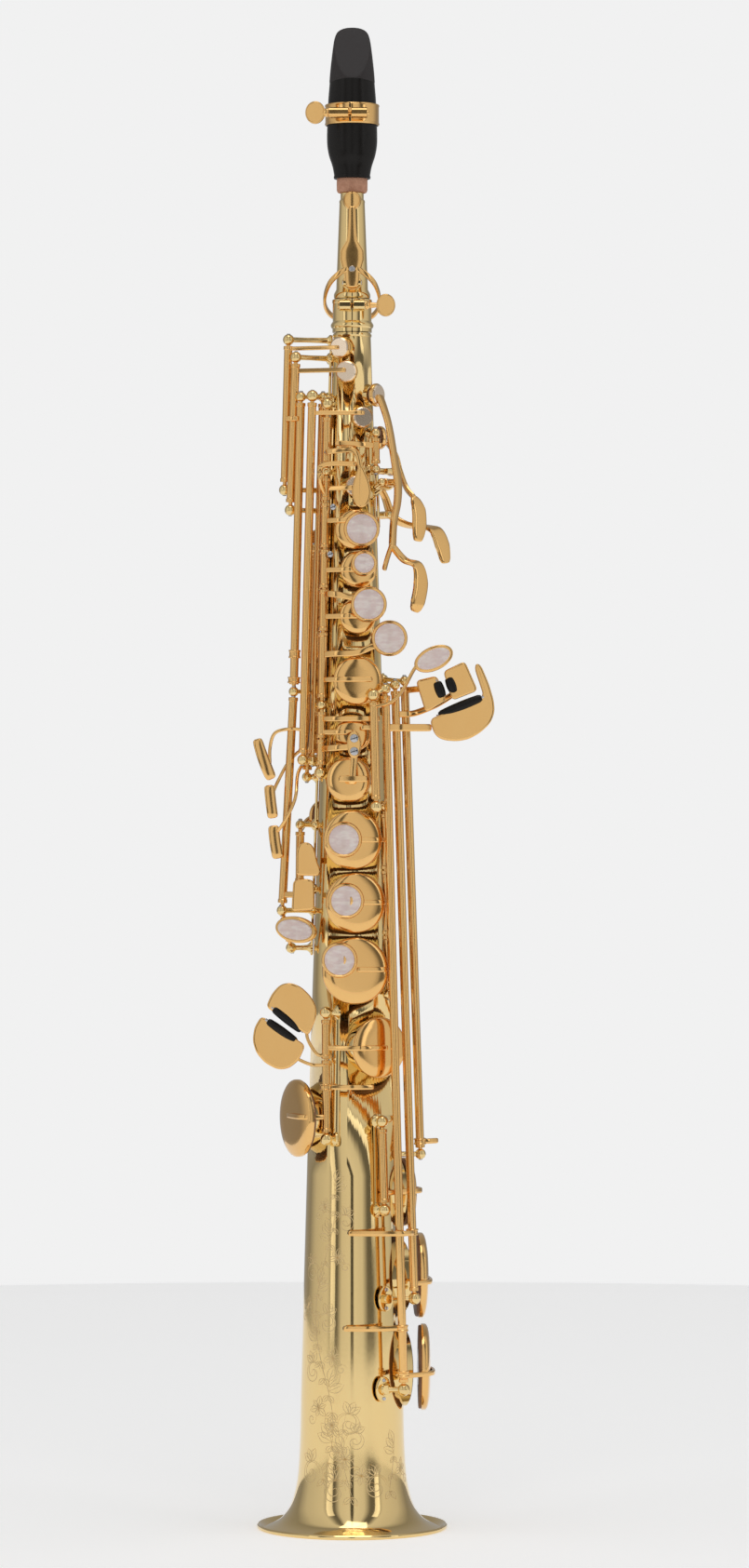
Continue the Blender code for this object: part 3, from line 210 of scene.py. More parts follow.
tube_brass = lacquer("tube_brass", (0.92, 0.70, 0.33, 1.0), (0.87, 0.62, 0.26, 1.0), 0.06)
bell_brass = lacquer("bell_brass", (0.92, 0.69, 0.32, 1.0), (0.86, 0.61, 0.25, 1.0), 0.06)
key_gold = lacquer("key_gold", (0.95, 0.60, 0.23, 1.0), (0.89, 0.50, 0.16, 1.0), 0.10)
cup_gold = lacquer("cup_gold", (0.95, 0.66, 0.29, 1.0), (0.90, 0.57, 0.21, 1.0), 0.11)
# painted highlight: a paler copy of the key lacquer for the flat tops of small cups, where they catch the
# light
painted_highlight_gold = lacquer("painted_highlight_gold", (0.93, 0.77, 0.60, 1.0), (0.88, 0.69, 0.50, 1.0), 0.20)
print("brass finishes:", tube_brass.name, bell_brass.name, key_gold.name, cup_gold.name)

# %% [markdown]
# The other finishes are small areas that the eye still checks: ebonite with a faint polish haze,
# shell pearl with milky veins, brown pad leather, cork with dark pores, and cane with long fibres.

# %% Ebonite, pearl, leather, cork, cane, steel and felt
def ebonite():
    finish = Finish("ebonite", metallic=0.0)
    finish.set("Specular IOR Level", 0.22)
    haze = finish.noise(260.0, 5.0)
    finish.colour(haze, (0.006, 0.005, 0.004, 1.0),
                                          (0.012, 0.010, 0.009, 1.0))
    finish.set("Roughness", haze * 0.16 + 0.2)
    finish.bump(finish.noise(1600.0), 0.05)
    return finish.material


def beak_ebonite():
    finish = Finish("beak_ebonite", metallic=0.0)
    rub = finish.noise(500.0, 6.0)
    finish.colour(rub, (0.012, 0.008, 0.008, 1.0),
                                          (0.026, 0.019, 0.019, 1.0))
    finish.set("Roughness", rub * 0.2 + 0.42)
    finish.bump(rub, 0.12)
    return finish.material


def pearl():
    finish = Finish("shell_pearl", metallic=0.0, coat_weight=0.8, coat_roughness=0.03,
                    subsurface_weight=0.1)
    veins = finish.noise(210.0, 6.0, (1.0, 1.0, 2.4))
    cloud = finish.noise(90.0, 2.0)
    milky = finish.blend(cloud, (0.90, 0.66, 0.58, 1.0), (0.80, 0.62, 0.58, 1.0))
    stops = ((0.42, (0, 0, 0, 1)), (0.62, (1, 1, 1, 1)))
    ramp = finish.node("ShaderNodeValToRGB", {"stops": stops}, {"Fac": veins})
    finish.colour(ramp, milky, (0.96, 0.80, 0.72, 1.0))
    finish.set("Roughness", veins * 0.15 + 0.12)
    return finish.material


def leather():
    finish = Finish("pad_leather", metallic=0.0)
    grain = finish.node("ShaderNodeTexVoronoi", {}, {"Vector": finish.place(), "Scale": 1900.0})
    tan = finish.noise(160.0, 4.0)
    finish.colour(tan, (0.17, 0.075, 0.035, 1.0),
                                          (0.30, 0.15, 0.075, 1.0))
    finish.set("Roughness", tan * 0.2 + 0.45)
    finish.bump(grain, 0.35, 0.00015)
    return finish.material


def cork_sheet():
    finish = Finish("cork_sheet", metallic=0.0)
    cells = finish.node("ShaderNodeTexVoronoi", {}, {"Vector": finish.place(), "Scale": 900.0})
    pores = finish.noise(420.0, 6.0)
    finish.colour(pores, (0.40, 0.17, 0.10, 1.0),
                                          (0.72, 0.40, 0.26, 1.0))
    finish.set("Roughness", pores * 0.15 + 0.75)
    finish.bump(cells + pores, 0.5, 0.0002)
    return finish.material


def cane():
    finish = Finish("cane", metallic=0.0)
    fibres = finish.noise(700.0, 4.0, (1.0, 1.0, 0.03))
    finish.colour(fibres, (0.66, 0.48, 0.22, 1.0),
                                          (0.86, 0.72, 0.44, 1.0))
    finish.set("Roughness", fibres * 0.2 + 0.5)
    finish.bump(fibres, 0.3)
    return finish.material


def steel(name, tone, rough):
    finish = Finish(name, metallic=1.0)
    marks = finish.noise(800.0, 3.0, (1.0, 1.0, 0.1))
    finish.colour(marks, (tone, tone, tone * 1.02, 1.0),
                                          (tone * 0.8, tone * 0.8, tone * 0.82, 1.0))
    finish.set("Roughness", marks * 0.12 + rough)
    return finish.material


def felt(name, colour):
    finish = Finish(name, metallic=0.0)
    fuzz = finish.noise(2400.0, 6.0)
    dark = tuple(c * 0.6 for c in colour[:3]) + (1.0,)
    finish.colour(fuzz, dark, colour)
    finish.set("Roughness", fuzz * 0.1 + 0.85)
    finish.bump(fuzz, 0.6, 0.0002)
    return finish.material


ebonite_gloss = ebonite()
ebonite_beak = beak_ebonite()
shell_pearl = pearl()
pad_leather = leather()
cork = cork_sheet()
cane_reed = cane()
screw_steel = steel("screw_steel", 0.62, 0.2)
spring_steel = steel("spring_steel", 0.10, 0.3)
# painted shade: near-black steel for the bars that stand in sawn slots and gaps
painted_slot_shade = steel("painted_slot_shade", 0.03, 0.5)
black_felt = felt("black_felt", (0.05, 0.045, 0.045, 1.0))
engraved = lacquer("engraved_brass", (0.80, 0.60, 0.30, 1.0), (0.66, 0.47, 0.22, 1.0), 0.30)
print(len(bpy.data.materials), "finishes in all")

# %% [markdown]
# A solid here is a list of points and a list of faces. Turned parts come from a profile swung
# round an axis, arms from a rounded section carried along a smooth curve, and touch plates from a
# rounded outline with a rolled edge and a flat face. Ready-made shapes could start these, but a
# profile gives each its real chamfers and curves at once.

# %% Solids: turned, rods, balls and boxes
FINE = 48
ROD_R = 2.0
BALL_R = 2.7
ARM_W = 2.4
ARM_T = 1.6
LEAN_SIDE, LEAN_UP = 0.07, 0.05


def aim(start, direction):
    """The matrix that carries +Z to a direction, at a point."""
    turn = Vector((0.0, 0.0, 1.0)).rotation_difference(Vector(direction).normalized())
    return Matrix.Translation(start) @ turn.to_matrix().to_4x4()


def skin(rings, closed=False):
    """Joins rings of points with faces; a ring of one point is a tip."""
    points = [point for ring in rings for point in ring]
    starts = [sum(len(ring) for ring in rings[:i]) for i in range(len(rings))]
    faces = []
    pairs = list(zip(range(len(rings)), range(1, len(rings))))
    if closed:
        pairs.append((len(rings) - 1, 0))
    for a, b in pairs:
        na, nb = len(rings[a]), len(rings[b])
        for i in range(max(na, nb)):
            j = (i + 1) % max(na, nb)
            corners = [starts[a] + i % na, starts[a] + j % na, starts[b] + j % nb,
                       starts[b] + i % nb]
            face = list(dict.fromkeys(corners))
            if len(face) > 2:
                faces.append(face)
    if not closed:
        for k in (0, len(rings) - 1):
            if len(rings[k]) > 1:
                faces.append(list(range(starts[k], starts[k] + len(rings[k]))))
    return points, faces


def lathe(profile, place=(0, 0, 0), direction=(0, 0, 1), segments=FINE, closed=False):
    """A turned solid: (radius, height) points from the top down its outer side."""
    carry = aim(place, direction)
    rings = []
    for r, h in profile:
        count = segments if r > 1e-6 else 1
        rings.append([carry @ Vector((r * cos(tau * i / count), r * sin(tau * i / count), h))
                      for i in range(count)])
    return skin(rings, closed)


def rod(start, end, radius=ROD_R, end_radius=None, segments=24):
    """A round rod with a small chamfer at each end."""
    start, end = Vector(start), Vector(end)
    length = (end - start).length
    far = radius if end_radius is None else end_radius
    edge = min(0.25, radius * 0.2, length * 0.2)
    profile = ((0.0, length), (far - edge, length), (far, length - edge), (radius, edge),
               (radius - edge, 0.0), (0.0, 0.0))
    return lathe(profile, start, end - start, segments)


def ball(place, radius=BALL_R, direction=(0, 0, 1)):
    steps = 14
    profile = [(radius * sin(pi * i / steps), radius * cos(pi * i / steps))
               for i in range(steps + 1)]
    profile[0] = (0.0, radius)
    profile[-1] = (0.0, -radius)
    return lathe(profile, place, direction, 28)


def box(place, size, turn_z=0.0):
    """A block with chamfered upright edges and faces slightly pulled in."""
    carry = (Matrix.Translation(place) @ Matrix.Rotation(radians(turn_z), 4, "Z"))
    x, y, z = (side / 2 for side in size)
    c = min(x, y, z) * 0.3
    rings = []
    for height, inset in ((-z, c), (c - z, 0.0), (z - c, 0.0), (z, c)):
        a, b = x - inset, y - inset
        corners = ((a, b - c), (a - c, b), (c - a, b), (-a, b - c), (-a, c - b), (c - a, -b),
                   (a - c, -b), (a, c - b))
        rings.append([carry @ Vector((px, py, height)) for px, py in corners])
    return skin(rings)


# %% Solids: arms, plates and outlines
def smooth_run(points, sizes, steps=7):
    """Points and sizes on a smooth curve through the given ones."""
    out = []
    last = len(points) - 1
    for i in range(last):
        p0, p1 = points[max(i - 1, 0)], points[i]
        p2, p3 = points[i + 1], points[min(i + 2, last)]
        for k in range(steps):
            t = k / steps
            place = 0.5 * (2 * p1 + (p2 - p0) * t + (2 * p0 - 5 * p1 + 4 * p2 - p3) * t * t
                           + (3 * p1 - p0 - 3 * p2 + p3) * t ** 3)
            out.append((place, sizes[i] + (sizes[i + 1] - sizes[i]) * t))
    out.append((points[last], sizes[last]))
    return out


def arm(points, width=ARM_W, thickness=ARM_T, up=(0, 0, 1)):
    """A key arm with rounded edges, carried along a smooth curve; width is along up."""
    points = [Vector(p) for p in points]
    widths = list(width) if isinstance(width, (list, tuple)) else [width] * len(points)
    run = smooth_run(points, widths)
    tip, butt = run[0], run[-1]
    reach = min(min(tip[1], butt[1]) * 0.4, (tip[0] - butt[0]).length * 0.2)
    run = [step for step in run
           if min((step[0] - tip[0]).length, (step[0] - butt[0]).length) > reach * 1.1]
    head, tail = run[0][0] - tip[0], run[-1][0] - butt[0]
    run = ([tip] + [(tip[0] + head.normalized() * reach * share, tip[1]) for share in (0.2, 0.55)]
           + run + [(butt[0] + tail.normalized() * reach * share, butt[1])
                    for share in (0.55, 0.2)] + [butt])
    last = len(run) - 1
    rings = []
    for i, (place, wide) in enumerate(run):
        ahead = (run[min(i + 1, last)][0] - run[max(i - 1, 0)][0]).normalized()
        side = ahead.cross(Vector(up)).normalized()
        rise = side.cross(ahead).normalized()
        shrink = {0: 0.5, 1: 0.82, 2: 0.96}.get(min(i, last - i), 1.0)
        ring = []
        for k in range(16):
            a = tau * (k + 0.5) / 16
            ca, sa = cos(a), sin(a)
            px = abs(ca) ** 0.5 * (1 if ca > 0 else -1) * thickness / 2 * shrink
            pz = abs(sa) ** 0.5 * (1 if sa > 0 else -1) * wide / 2 * shrink
            ring.append(place + side * px + rise * pz)
        rings.append(ring)
    return skin(rings)


def rounded(outline, reach=2.4, steps=6):
    """A closed outline of (x, z) points with its corners rounded, never outside itself."""
    corners = [Vector((x, z, 0.0)) for x, z in outline]
    out = []
    for i, corner in enumerate(corners):
        before, after = corners[i - 1] - corner, corners[(i + 1) % len(corners)] - corner
        start = corner + before.normalized() * min(reach, before.length / 2)
        end = corner + after.normalized() * min(reach, after.length / 2)
        for k in range(steps + 1):
            t = k / steps
            point = start * (1 - t) ** 2 + corner * 2 * t * (1 - t) + end * t * t
            if not out or (point - out[-1]).length > 0.02:
                out.append(point)
    return out if (out[0] - out[-1]).length > 0.02 else out[:-1]


def plate(outline, depth, normal=FRONT, thickness=1.8, at=None, crown=0.25):
    """A touch plate with rolled edges; plates that face the front lean a little outward."""
    edge = rounded(outline)
    middle = sum(edge, Vector()) / len(edge)
    face = Vector(normal).normalized()
    right = Vector((0, 0, 1)).cross(face).normalized()
    rise = face.cross(right)
    centre = (Vector(at) if at else Vector((0.0, depth, 0.0))) + right * middle.x + rise * middle.y
    if tuple(normal) == FRONT:
        face = Vector((LEAN_SIDE if centre.x > 0 else -LEAN_SIDE, -1.0, LEAN_UP)).normalized()
        right = Vector((0, 0, 1)).cross(face).normalized()
        rise = face.cross(right)
    carry = Matrix.Translation(centre) @ Matrix((right, rise, face)).transposed().to_4x4()
    area = sum(p.x * q.y - p.y * q.x for p, q in zip(edge, edge[1:] + edge[:1]))
    turn = 1.0 if area > 0 else -1.0
    inward = []
    for i in range(len(edge)):
        run = (edge[(i + 1) % len(edge)] - edge[i - 1]).normalized()
        inward.append(Vector((-run.y, run.x, 0.0)) * turn)
    half, roll = thickness / 2, min(0.6, thickness * 0.3)
    rings = []
    for height, inset in ((-half, roll), (-half + 0.3 * roll, 0.3 * roll), (-half + roll, 0.0),
                          (half - roll, 0.0), (half - 0.6 * roll, 0.08 * roll),
                          (half - 0.3 * roll, 0.3 * roll), (half - 0.1 * roll, 0.6 * roll),
                          (half, roll), (half + 0.3 * crown, 1.5 * roll)):
        rings.append([carry @ (point - middle + side * inset + Vector((0, 0, height)))
                      for point, side in zip(edge, inward)])
    return skin(rings)


def ellipse(long_radius, short_radius, tilt=0.0, centre=(0.0, 0.0), count=14):
    c, s = cos(radians(tilt)), sin(radians(tilt))
    points = []
    for i in range(count):
        a = tau * i / count
        x, z = long_radius * cos(a), short_radius * sin(a)
        points.append((centre[0] + c * x - s * z, centre[1] + s * x + c * z))
    return points


# %% [markdown]
# Solids are gathered into one mesh per visible piece. Faces that meet at more than about a third
# of a right angle keep a crisp edge, and the rest is shaded smooth. A face with more than eight
# corners stays flat. Each piece rides on the moving body that its solid belongs to, and stands for
# that solid in the picture.

# %% Making a piece
CRISP = radians(32)
SMOOTH_CORNERS = 8


def piece(name, solids, finish, body="body", node=None):
    points, faces = [], []
    for solid_points, solid_faces in solids:
        start = len(points)
        points += [TO_FRAME @ Vector(p) for p in solid_points]
        faces += [[start + i for i in face] for face in solid_faces]
    mesh = bpy.data.meshes.new(name)
    mesh.from_pydata(points, [], faces)
    bm = bmesh.new()
    bm.from_mesh(mesh)
    bmesh.ops.recalc_face_normals(bm, faces=bm.faces)
    for face in bm.faces:
        face.smooth = True
    for edge in bm.edges:
        edge.smooth = (len(edge.link_faces) == 2 and edge.calc_face_angle(0.0) < CRISP
                       and max(len(face.verts) for face in edge.link_faces) <= SMOOTH_CORNERS)
    bm.to_mesh(mesh)
    bm.free()
    mesh.materials.append(finish)
    made = bpy.data.objects.new(name, mesh)
    bpy.context.scene.collection.objects.link(made)
    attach(made, body)
    if node:
        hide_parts(node)
    return made


def add_part(name, solids, finish):
    """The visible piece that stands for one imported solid."""
    return piece(name + "_drawn", solids, finish, BODY_OF[name], name)


# %% [markdown]
# A key cup is a shallow pan that holds a leather pad over the rim of a tone hole. The hole's
# chimney is drawn out of the tube's wall. One small class knows where each cup lies when it is
# shut and how far it stands open, so that the cup, its pad and its arm agree.

# %% Key cups
CHIMNEY = 1.6
CHIMNEY_WALL = 1.3
CUP_LIFT = 1.7
FLAT_TOP_BELOW = 7.6
DISC_ABOVE = 9.0


class Cup:
    """A pad cup over a tone hole: its place, the chimney under it and its rest angle."""

    def __init__(self, phi, z, radius, open_deg=0.0, chimney=None, stand=CHIMNEY):
        self.phi = phi
        self.z = z
        self.radius = radius
        self.open_deg = open_deg
        self.chimney = chimney if chimney else radius - 1.0
        self.thick = 1.9 + 0.12 * radius
        self.rim = tube_radius(z) + stand

    def closed(self):
        """Middle of the cup's underside when it is closed, and its outward direction."""
        return around(self.phi, self.rim + CUP_LIFT, self.z), outward(self.phi)

    def rest(self, hinge):
        """The same two at rest: an open-standing cup is turned away about its hinge."""
        place, face = self.closed()
        if not self.open_deg:
            return place, face
        foot, direction = hinge
        lever = direction.cross(place - foot)
        angle = radians(self.open_deg) * (1.0 if lever.dot(face) > 0 else -1.0)
        turn = Matrix.Rotation(angle, 3, direction)
        return foot + turn @ (place - foot), turn @ face

    def mesh(self, hinge):
        """The pan: a straight wall, a rounded shoulder, a low dome and a hollow for the pad."""
        place, face = self.rest(hinge)
        r, t = self.radius, self.thick
        bow = 0.1 if r > 7.5 else 0.02
        dome = [(r * share, t * (1.0 - bow * share ** 2)) for share in (0.25, 0.5, 0.7)]
        shoulder = [(r * 0.86, t * 0.82), (r * 0.94, t * 0.7), (r * 0.985, t * 0.56),
                    (r, t * 0.42)]
        profile = [(0.0, t)] + dome + shoulder + [(r, 0.15), (r - 0.15, 0.0), (r - 0.6, 0.0),
                                                  (r - 0.6, 0.5), (0.0, 0.5)]
        return lathe(profile, place, face, 64)

    def pad(self, hinge):
        """The pad stands out of the pan; its edge is rolled and its middle is pressed flat."""
        place, face = self.rest(hinge)
        r = self.radius - 0.65
        ring = self.chimney - CHIMNEY_WALL / 2
        profile = [(0.0, 0.45), (r, 0.45), (r, -0.75), (r - 0.12, -1.05), (r - 0.45, -1.28)]
        if ring < r - 0.8:
            profile += [(ring + 0.45, -1.3), (ring, -1.18), (ring - 0.45, -1.3)]
        profile.append((0.0, -1.3))
        return lathe(profile, place, face, 56)

    def highlight_top(self, hinge):
        """The flat top of a small cup, in a paler gold: a painted highlight where the flat catches the
        light.
        """
        place, face = self.rest(hinge)
        r, t = self.radius, self.thick
        profile = [(0.0, t + 0.05), (0.8 * r, t + 0.05), (0.9 * r, t * 0.84), (0.9 * r, t * 0.6),
                   (0.0, t * 0.6)]
        return lathe(profile, place, face, 64)

    def resonator(self, hinge):
        """The domed metal disc riveted to the middle of a pad."""
        place, face = self.rest(hinge)
        r = 0.42 * self.radius
        profile = [(0.0, -1.2), (r, -1.2), (r, -1.45), (0.8 * r, -1.62), (0.2 * r, -1.85),
                   (0.0, -1.9)]
        return lathe(profile, place, face, 32)

    def top(self, hinge, across=0.0, up=0.0, sink=0.3):
        """A point on the cup's top face, shifted sideways and along the tube."""
        place, face = self.rest(hinge)
        side = face.cross(Vector((0, 0, 1))).normalized() * -1.0
        return place + face * (self.thick - sink) + side * across + Vector((0, 0, up))


# %% [markdown]
# Each key turns on one straight line, given by its bottom and its top point. The sizes and the
# places of the cups come next, by angle and height.

# %% Hinge lines and cups
UPPER_STACK = ((-15.0, -17.0, 364.0), (-11.9, -14.5, 541.0))
LOWER_STACK = ((17.3, -17.4, 258.0), (15.6, -18.5, 348.0))
HIGH_G = ((-32.5, -5.0, 500.2), (-30.6, -5.0, 572.5))
HIGH_FS = ((-29.7, -9.0, 490.3), (-27.0, -9.0, 563.8))
FS_ROD = ((-28.0, -12.0, 403.0), (-24.5, -12.0, 544.5))
FS_LEVER = ((-33.7, -5.0, 297.7), (-28.0, -12.0, 403.0))
HIGH_E = ((-23.6, -14.5, 370.2), (-19.0, -15.0, 544.8))
SIDE_C = ((-19.0, -8.0, 369.8), (-14.0, -6.5, 544.7))
SIDE_BB = ((-21.8, 0.3, 362.0), (-18.4, 1.0, 472.0))
TRILL = ((-25.3, -2.5, 308.0), (-25.0, -2.5, 339.0))
G_LEVER = ((-29.4, 0.5, 279.6), (-33.7, -5.0, 297.7))
ROD_1 = ((11.6, -29.5, 347.7), (10.3, -29.0, 401.0))
ROD_2 = ((24.8, -24.0, 69.0), (16.0, -25.5, 404.0))
ROD_3 = ((29.9, -18.0, 112.1), (20.6, -21.6, 406.0))
ROD_4 = ((32.9, -5.0, 180.5), (25.2, -15.0, 408.0))
C_SHARP = ((15.7, -22.8, 154.8), (14.5, -22.5, 197.2))
LOW_C = ((-12.2, -22.0, 188.7), (-12.5, -22.0, 249.2))


CUPS = {
    "high_g_key": Cup(-25, 568.3, 5.2),
    "high_f_sharp_key": Cup(-11, 556.6, 5.4),
    "palm_f_key": Cup(57, 545.7, 5.6),
    "high_e_key": Cup(20, 534.6, 5.3),
    "palm_e_flat_key": Cup(112, 526.0, 5.6),
    "palm_d_key": Cup(150, 510.0, 6.0),
    "small_c_key": Cup(8, 501.3, 5.2, 9),
    "side_c_key": Cup(-133, 505.0, 6.2),
    "b_key": Cup(6, 480.6, 9.5, 9),
    "bis_key": Cup(12, 461.2, 8.7, 9),
    "side_b_flat_key": Cup(-137, 450.0, 7.2),
    "a_key": Cup(11, 439.2, 8.8, 9),
    "g_key": Cup(10, 408.1, 11.7, 8),
    "g_sharp_key": Cup(2, 382.6, 8.5),
    "f_sharp_key": Cup(-3, 360.6, 10.8, 7),
    "f_sharp_trill_key": Cup(-132, 343.0, 7.4),
    "f_key": Cup(0, 331.9, 14.1, 7),
    "e_key": Cup(3, 301.7, 14.4, 7, chimney=13.0),
    "d_key": Cup(2, 269.3, 16.0, 7, chimney=13.9),
    "low_e_flat_key": Cup(33, 232.4, 14.6),
    "low_c_key": Cup(-72, 198.0, 18.6, 6, chimney=14.4, stand=2.4),
    "low_c_sharp_key": Cup(104, 161.5, 16.6),
    "low_b_key": Cup(108, 120.7, 20.6, 14, chimney=18.2),
    "low_b_flat_key": Cup(103, 76.8, 20.8, 12, chimney=18.8),
}
OCTAVE_PIP = (165.0, 552.0)

# This cup opens towards the low B key's long tube, so its pan is a little lower.
CUPS["low_e_flat_key"].thick -= 0.9

# %% [markdown]
# The tube is one sheet of brass: a slow cone that opens into a bell with a rolled wire in its rim.
# A lathe profile gives both sides of the wall at once. The tone holes are cut through it, and
# each gets its own drawn chimney, a short ring with a rounded lip that the pad closes on.

# %% The tube, its bell and its tone holes
TUBE_STEPS = 160


def bell_curve():
    """The profile's corner points, with a smooth curve through the flare."""
    points = [Vector((r, z, 0.0)) for z, r in TUBE_PROFILE]
    flare = [place for place, _ in smooth_run(points[:9], [0.0] * 9, 5)]
    return [(p.y, p.x) for p in flare] + [(z, r) for z, r in TUBE_PROFILE[9:]]


def hole_cutters():
    cutters = []
    for cup in CUPS.values():
        root = sqrt(max(tube_radius(cup.z) ** 2 - cup.chimney ** 2, 9.0)) - 4.6
        cutters.append(lathe([(0.0, cup.rim + 3.0), (cup.chimney - CHIMNEY_WALL, cup.rim + 3.0),
                              (cup.chimney - CHIMNEY_WALL, root), (0.0, root)],
                             (0.0, 0.0, cup.z), outward(cup.phi), 48))
    return cutters


def chimney(cup):
    """A drawn ring: its foot spreads into the tube and its lip is rounded."""
    r, wall = cup.chimney, CHIMNEY_WALL
    root = sqrt(max(tube_radius(cup.z) ** 2 - r ** 2, 9.0)) - 0.8
    profile = [(r - wall, cup.rim - 0.4), (r - 0.65 * wall, cup.rim), (r - 0.35 * wall, cup.rim),
               (r, cup.rim - 0.35), (r, root), (r - wall, root)]
    return lathe(profile, (0.0, 0.0, cup.z), outward(cup.phi), 56, closed=True)


def body_tube():
    curve = bell_curve()
    outside = [(r, z) for z, r in reversed(curve) if z > 0.4]
    bead = [(44.0, 1.5), (44.6, 1.95), (45.3, 2.1), (45.85, 1.6), (46.0, 0.95), (45.85, 0.35),
            (45.4, 0.0), (43.5, 0.0), (43.2, 0.3)]
    inside = [(r - WALL, z) for z, r in curve if z > 0.4]
    outside[0], inside[-1] = (tube_radius(TUBE_TOP), TUBE_TOP), (tube_radius(TUBE_TOP) - WALL,
                                                                 TUBE_TOP)
    wall = lathe(outside + bead + inside, segments=TUBE_STEPS, closed=True)
    tube = add_part("body_tube", [wall], tube_brass)
    cutter = piece("hole_cutter", hole_cutters(), tube_brass)
    cut = tube.modifiers.new("tone_holes", "BOOLEAN")
    cut.object = cutter
    cut.operation = "DIFFERENCE"
    cut.solver = "EXACT"
    bpy.context.view_layer.update()
    mesh = bpy.data.meshes.new_from_object(
        tube.evaluated_get(bpy.context.evaluated_depsgraph_get()))
    tube.modifiers.remove(cut)
    tube.data = mesh
    bpy.data.objects.remove(cutter, do_unlink=True)
    rings = [chimney(cup) for cup in CUPS.values()]
    phi, z = OCTAVE_PIP
    pip = lathe([(0.0, 13.0), (0.8, 13.0), (1.0, 12.4), (2.0, 12.4), (2.2, 12.0), (2.2, 8.7),
                 (0.0, 8.7)], (0, 0, z), outward(phi), 32)
    piece("tone_hole_chimneys", rings + [pip], tube_brass)
    z = TUBE_TOP - 1.2
    r = tube_radius(z)
    piece("tube_top_ring", [lathe([(r - 0.4, z + 1.0), (r + 0.25, z + 0.7), (r + 0.5, z),
                                   (r + 0.25, z - 0.7), (r - 0.4, z - 1.0)], segments=96,
                                  closed=True)], tube_brass)
    print(f"tube: {len(mesh.polygons)} faces, {len(rings)} chimneys")


body_tube()

# %% [markdown]
# The neck is a short straight taper held in a split sleeve at the top of the tube. A screw with a
# flat thumb paddle draws the sleeve's two lugs together. The sleeve is turned, with beads where
# the real one is rolled, and the lugs stand each side of a narrow slot, drawn as a dark bar of
# painted shade.

# %% Neck sleeve and clamp screw
CLAMP = (0.0, -11.6, 588.6)


def threads(start, end, radius, pitch=0.5):
    """A screw's shank with cut rings in place of a helix."""
    start, end = Vector(start), Vector(end)
    length = (end - start).length
    profile = [(0.0, length), (radius, length)]
    for i in range(int(length / pitch)):
        h = length - i * pitch
        profile += [(radius, h - 0.15 * pitch), (radius - 0.18, h - 0.5 * pitch),
                    (radius, h - 0.85 * pitch)]
    profile += [(radius, 0.0), (0.0, 0.0)]
    return lathe(profile, start, end - start, 24)


def paddle(middle, long_radius, short_radius, neck_from):
    """A screw's flat oval thumb piece and the cone that joins it to its shank."""
    middle, neck_from = Vector(middle), Vector(neck_from)
    out = (middle - neck_from).normalized()
    edge = middle - out * (long_radius - 1.6)
    return [plate(ellipse(long_radius, short_radius), 0.0, thickness=1.7, at=middle, crown=-0.25),
            rod(neck_from, edge, 1.5, 1.0)]


def slot_shade_bar(start, end, width=0.35):
    """A thin dark bar of painted shade where a sawn slot is."""
    return arm([start, (Vector(start) + Vector(end)) / 2, end], width, width)


def neck_receiver():
    sleeve = lathe([(9.3, 592.2), (9.6, 591.9), (9.6, 590.6), (9.35, 590.3), (9.35, 581.6),
                    (10.0, 580.6), (10.3, 580.0), (10.3, 579.2), (9.9, 578.5), (9.5, 578.2),
                    (9.5, TUBE_TOP + GAP), (7.9, TUBE_TOP + GAP), (8.5, 581.0), (8.5, 592.2)],
                   segments=96, closed=True)
    lugs = []
    for side in (-1, 1):
        x = side * 3.4
        lugs.append(box((x, -10.6, 588.6), (5.6, 4.8, 5.2)))
        lugs.append(rod((x - 2.8, -11.6, 588.6), (x + 2.8, -11.6, 588.6), 2.75, segments=36))
    add_part("neck_receiver", [sleeve] + lugs, tube_brass)
    # dark bars of painted shade in the sleeve's split and between its lugs
    piece("receiver_slot_shade", [slot_shade_bar((0, -9.75, 580.4), (0, -9.75, 592.1), 0.7),
                            slot_shade_bar((0, -12.9, 586.2), (0, -12.9, 591.0), 0.8)],
          painted_slot_shade)


def neck_clamp_screw():
    y, z = CLAMP[1:]
    head = lathe([(0.0, -6.9), (1.7, -6.9), (2.0, -6.6), (2.0, -6.0), (1.1, -5.8), (0.0, -5.8)],
                 CLAMP, (1, 0, 0), 32)
    collar = lathe([(0.0, 8.8), (1.2, 8.8), (1.6, 8.4), (2.35, 7.0), (2.35, 6.5), (0.0, 6.5)],
                   CLAMP, (1, 0, 0), 32)
    add_part("neck_clamp_screw", [threads((-6.2, y, z), (12.8, y, z), 1.1), head, collar]
             + paddle((16.2, y, z), 4.7, 5.6, (8.6, y, z)), key_gold)


neck_receiver()
neck_clamp_screw()

# %% [markdown]
# The neck itself carries the small octave vent, two saddles for the octave key, and the cork
# sheet that the mouthpiece is pushed on to.

# %% Neck, vent and cork
NECK_BASE = 583.0
NECK_TOP = 652.0
HINGE_Y, HINGE_Z = -10.2, 599.6
VENT = (0, 0, 639.0)
VENT_PAD = (0, -9.5, 639.0)


def neck_radius(z):
    return 8.1 - 2.2 * (z - NECK_BASE) / (NECK_TOP - NECK_BASE)


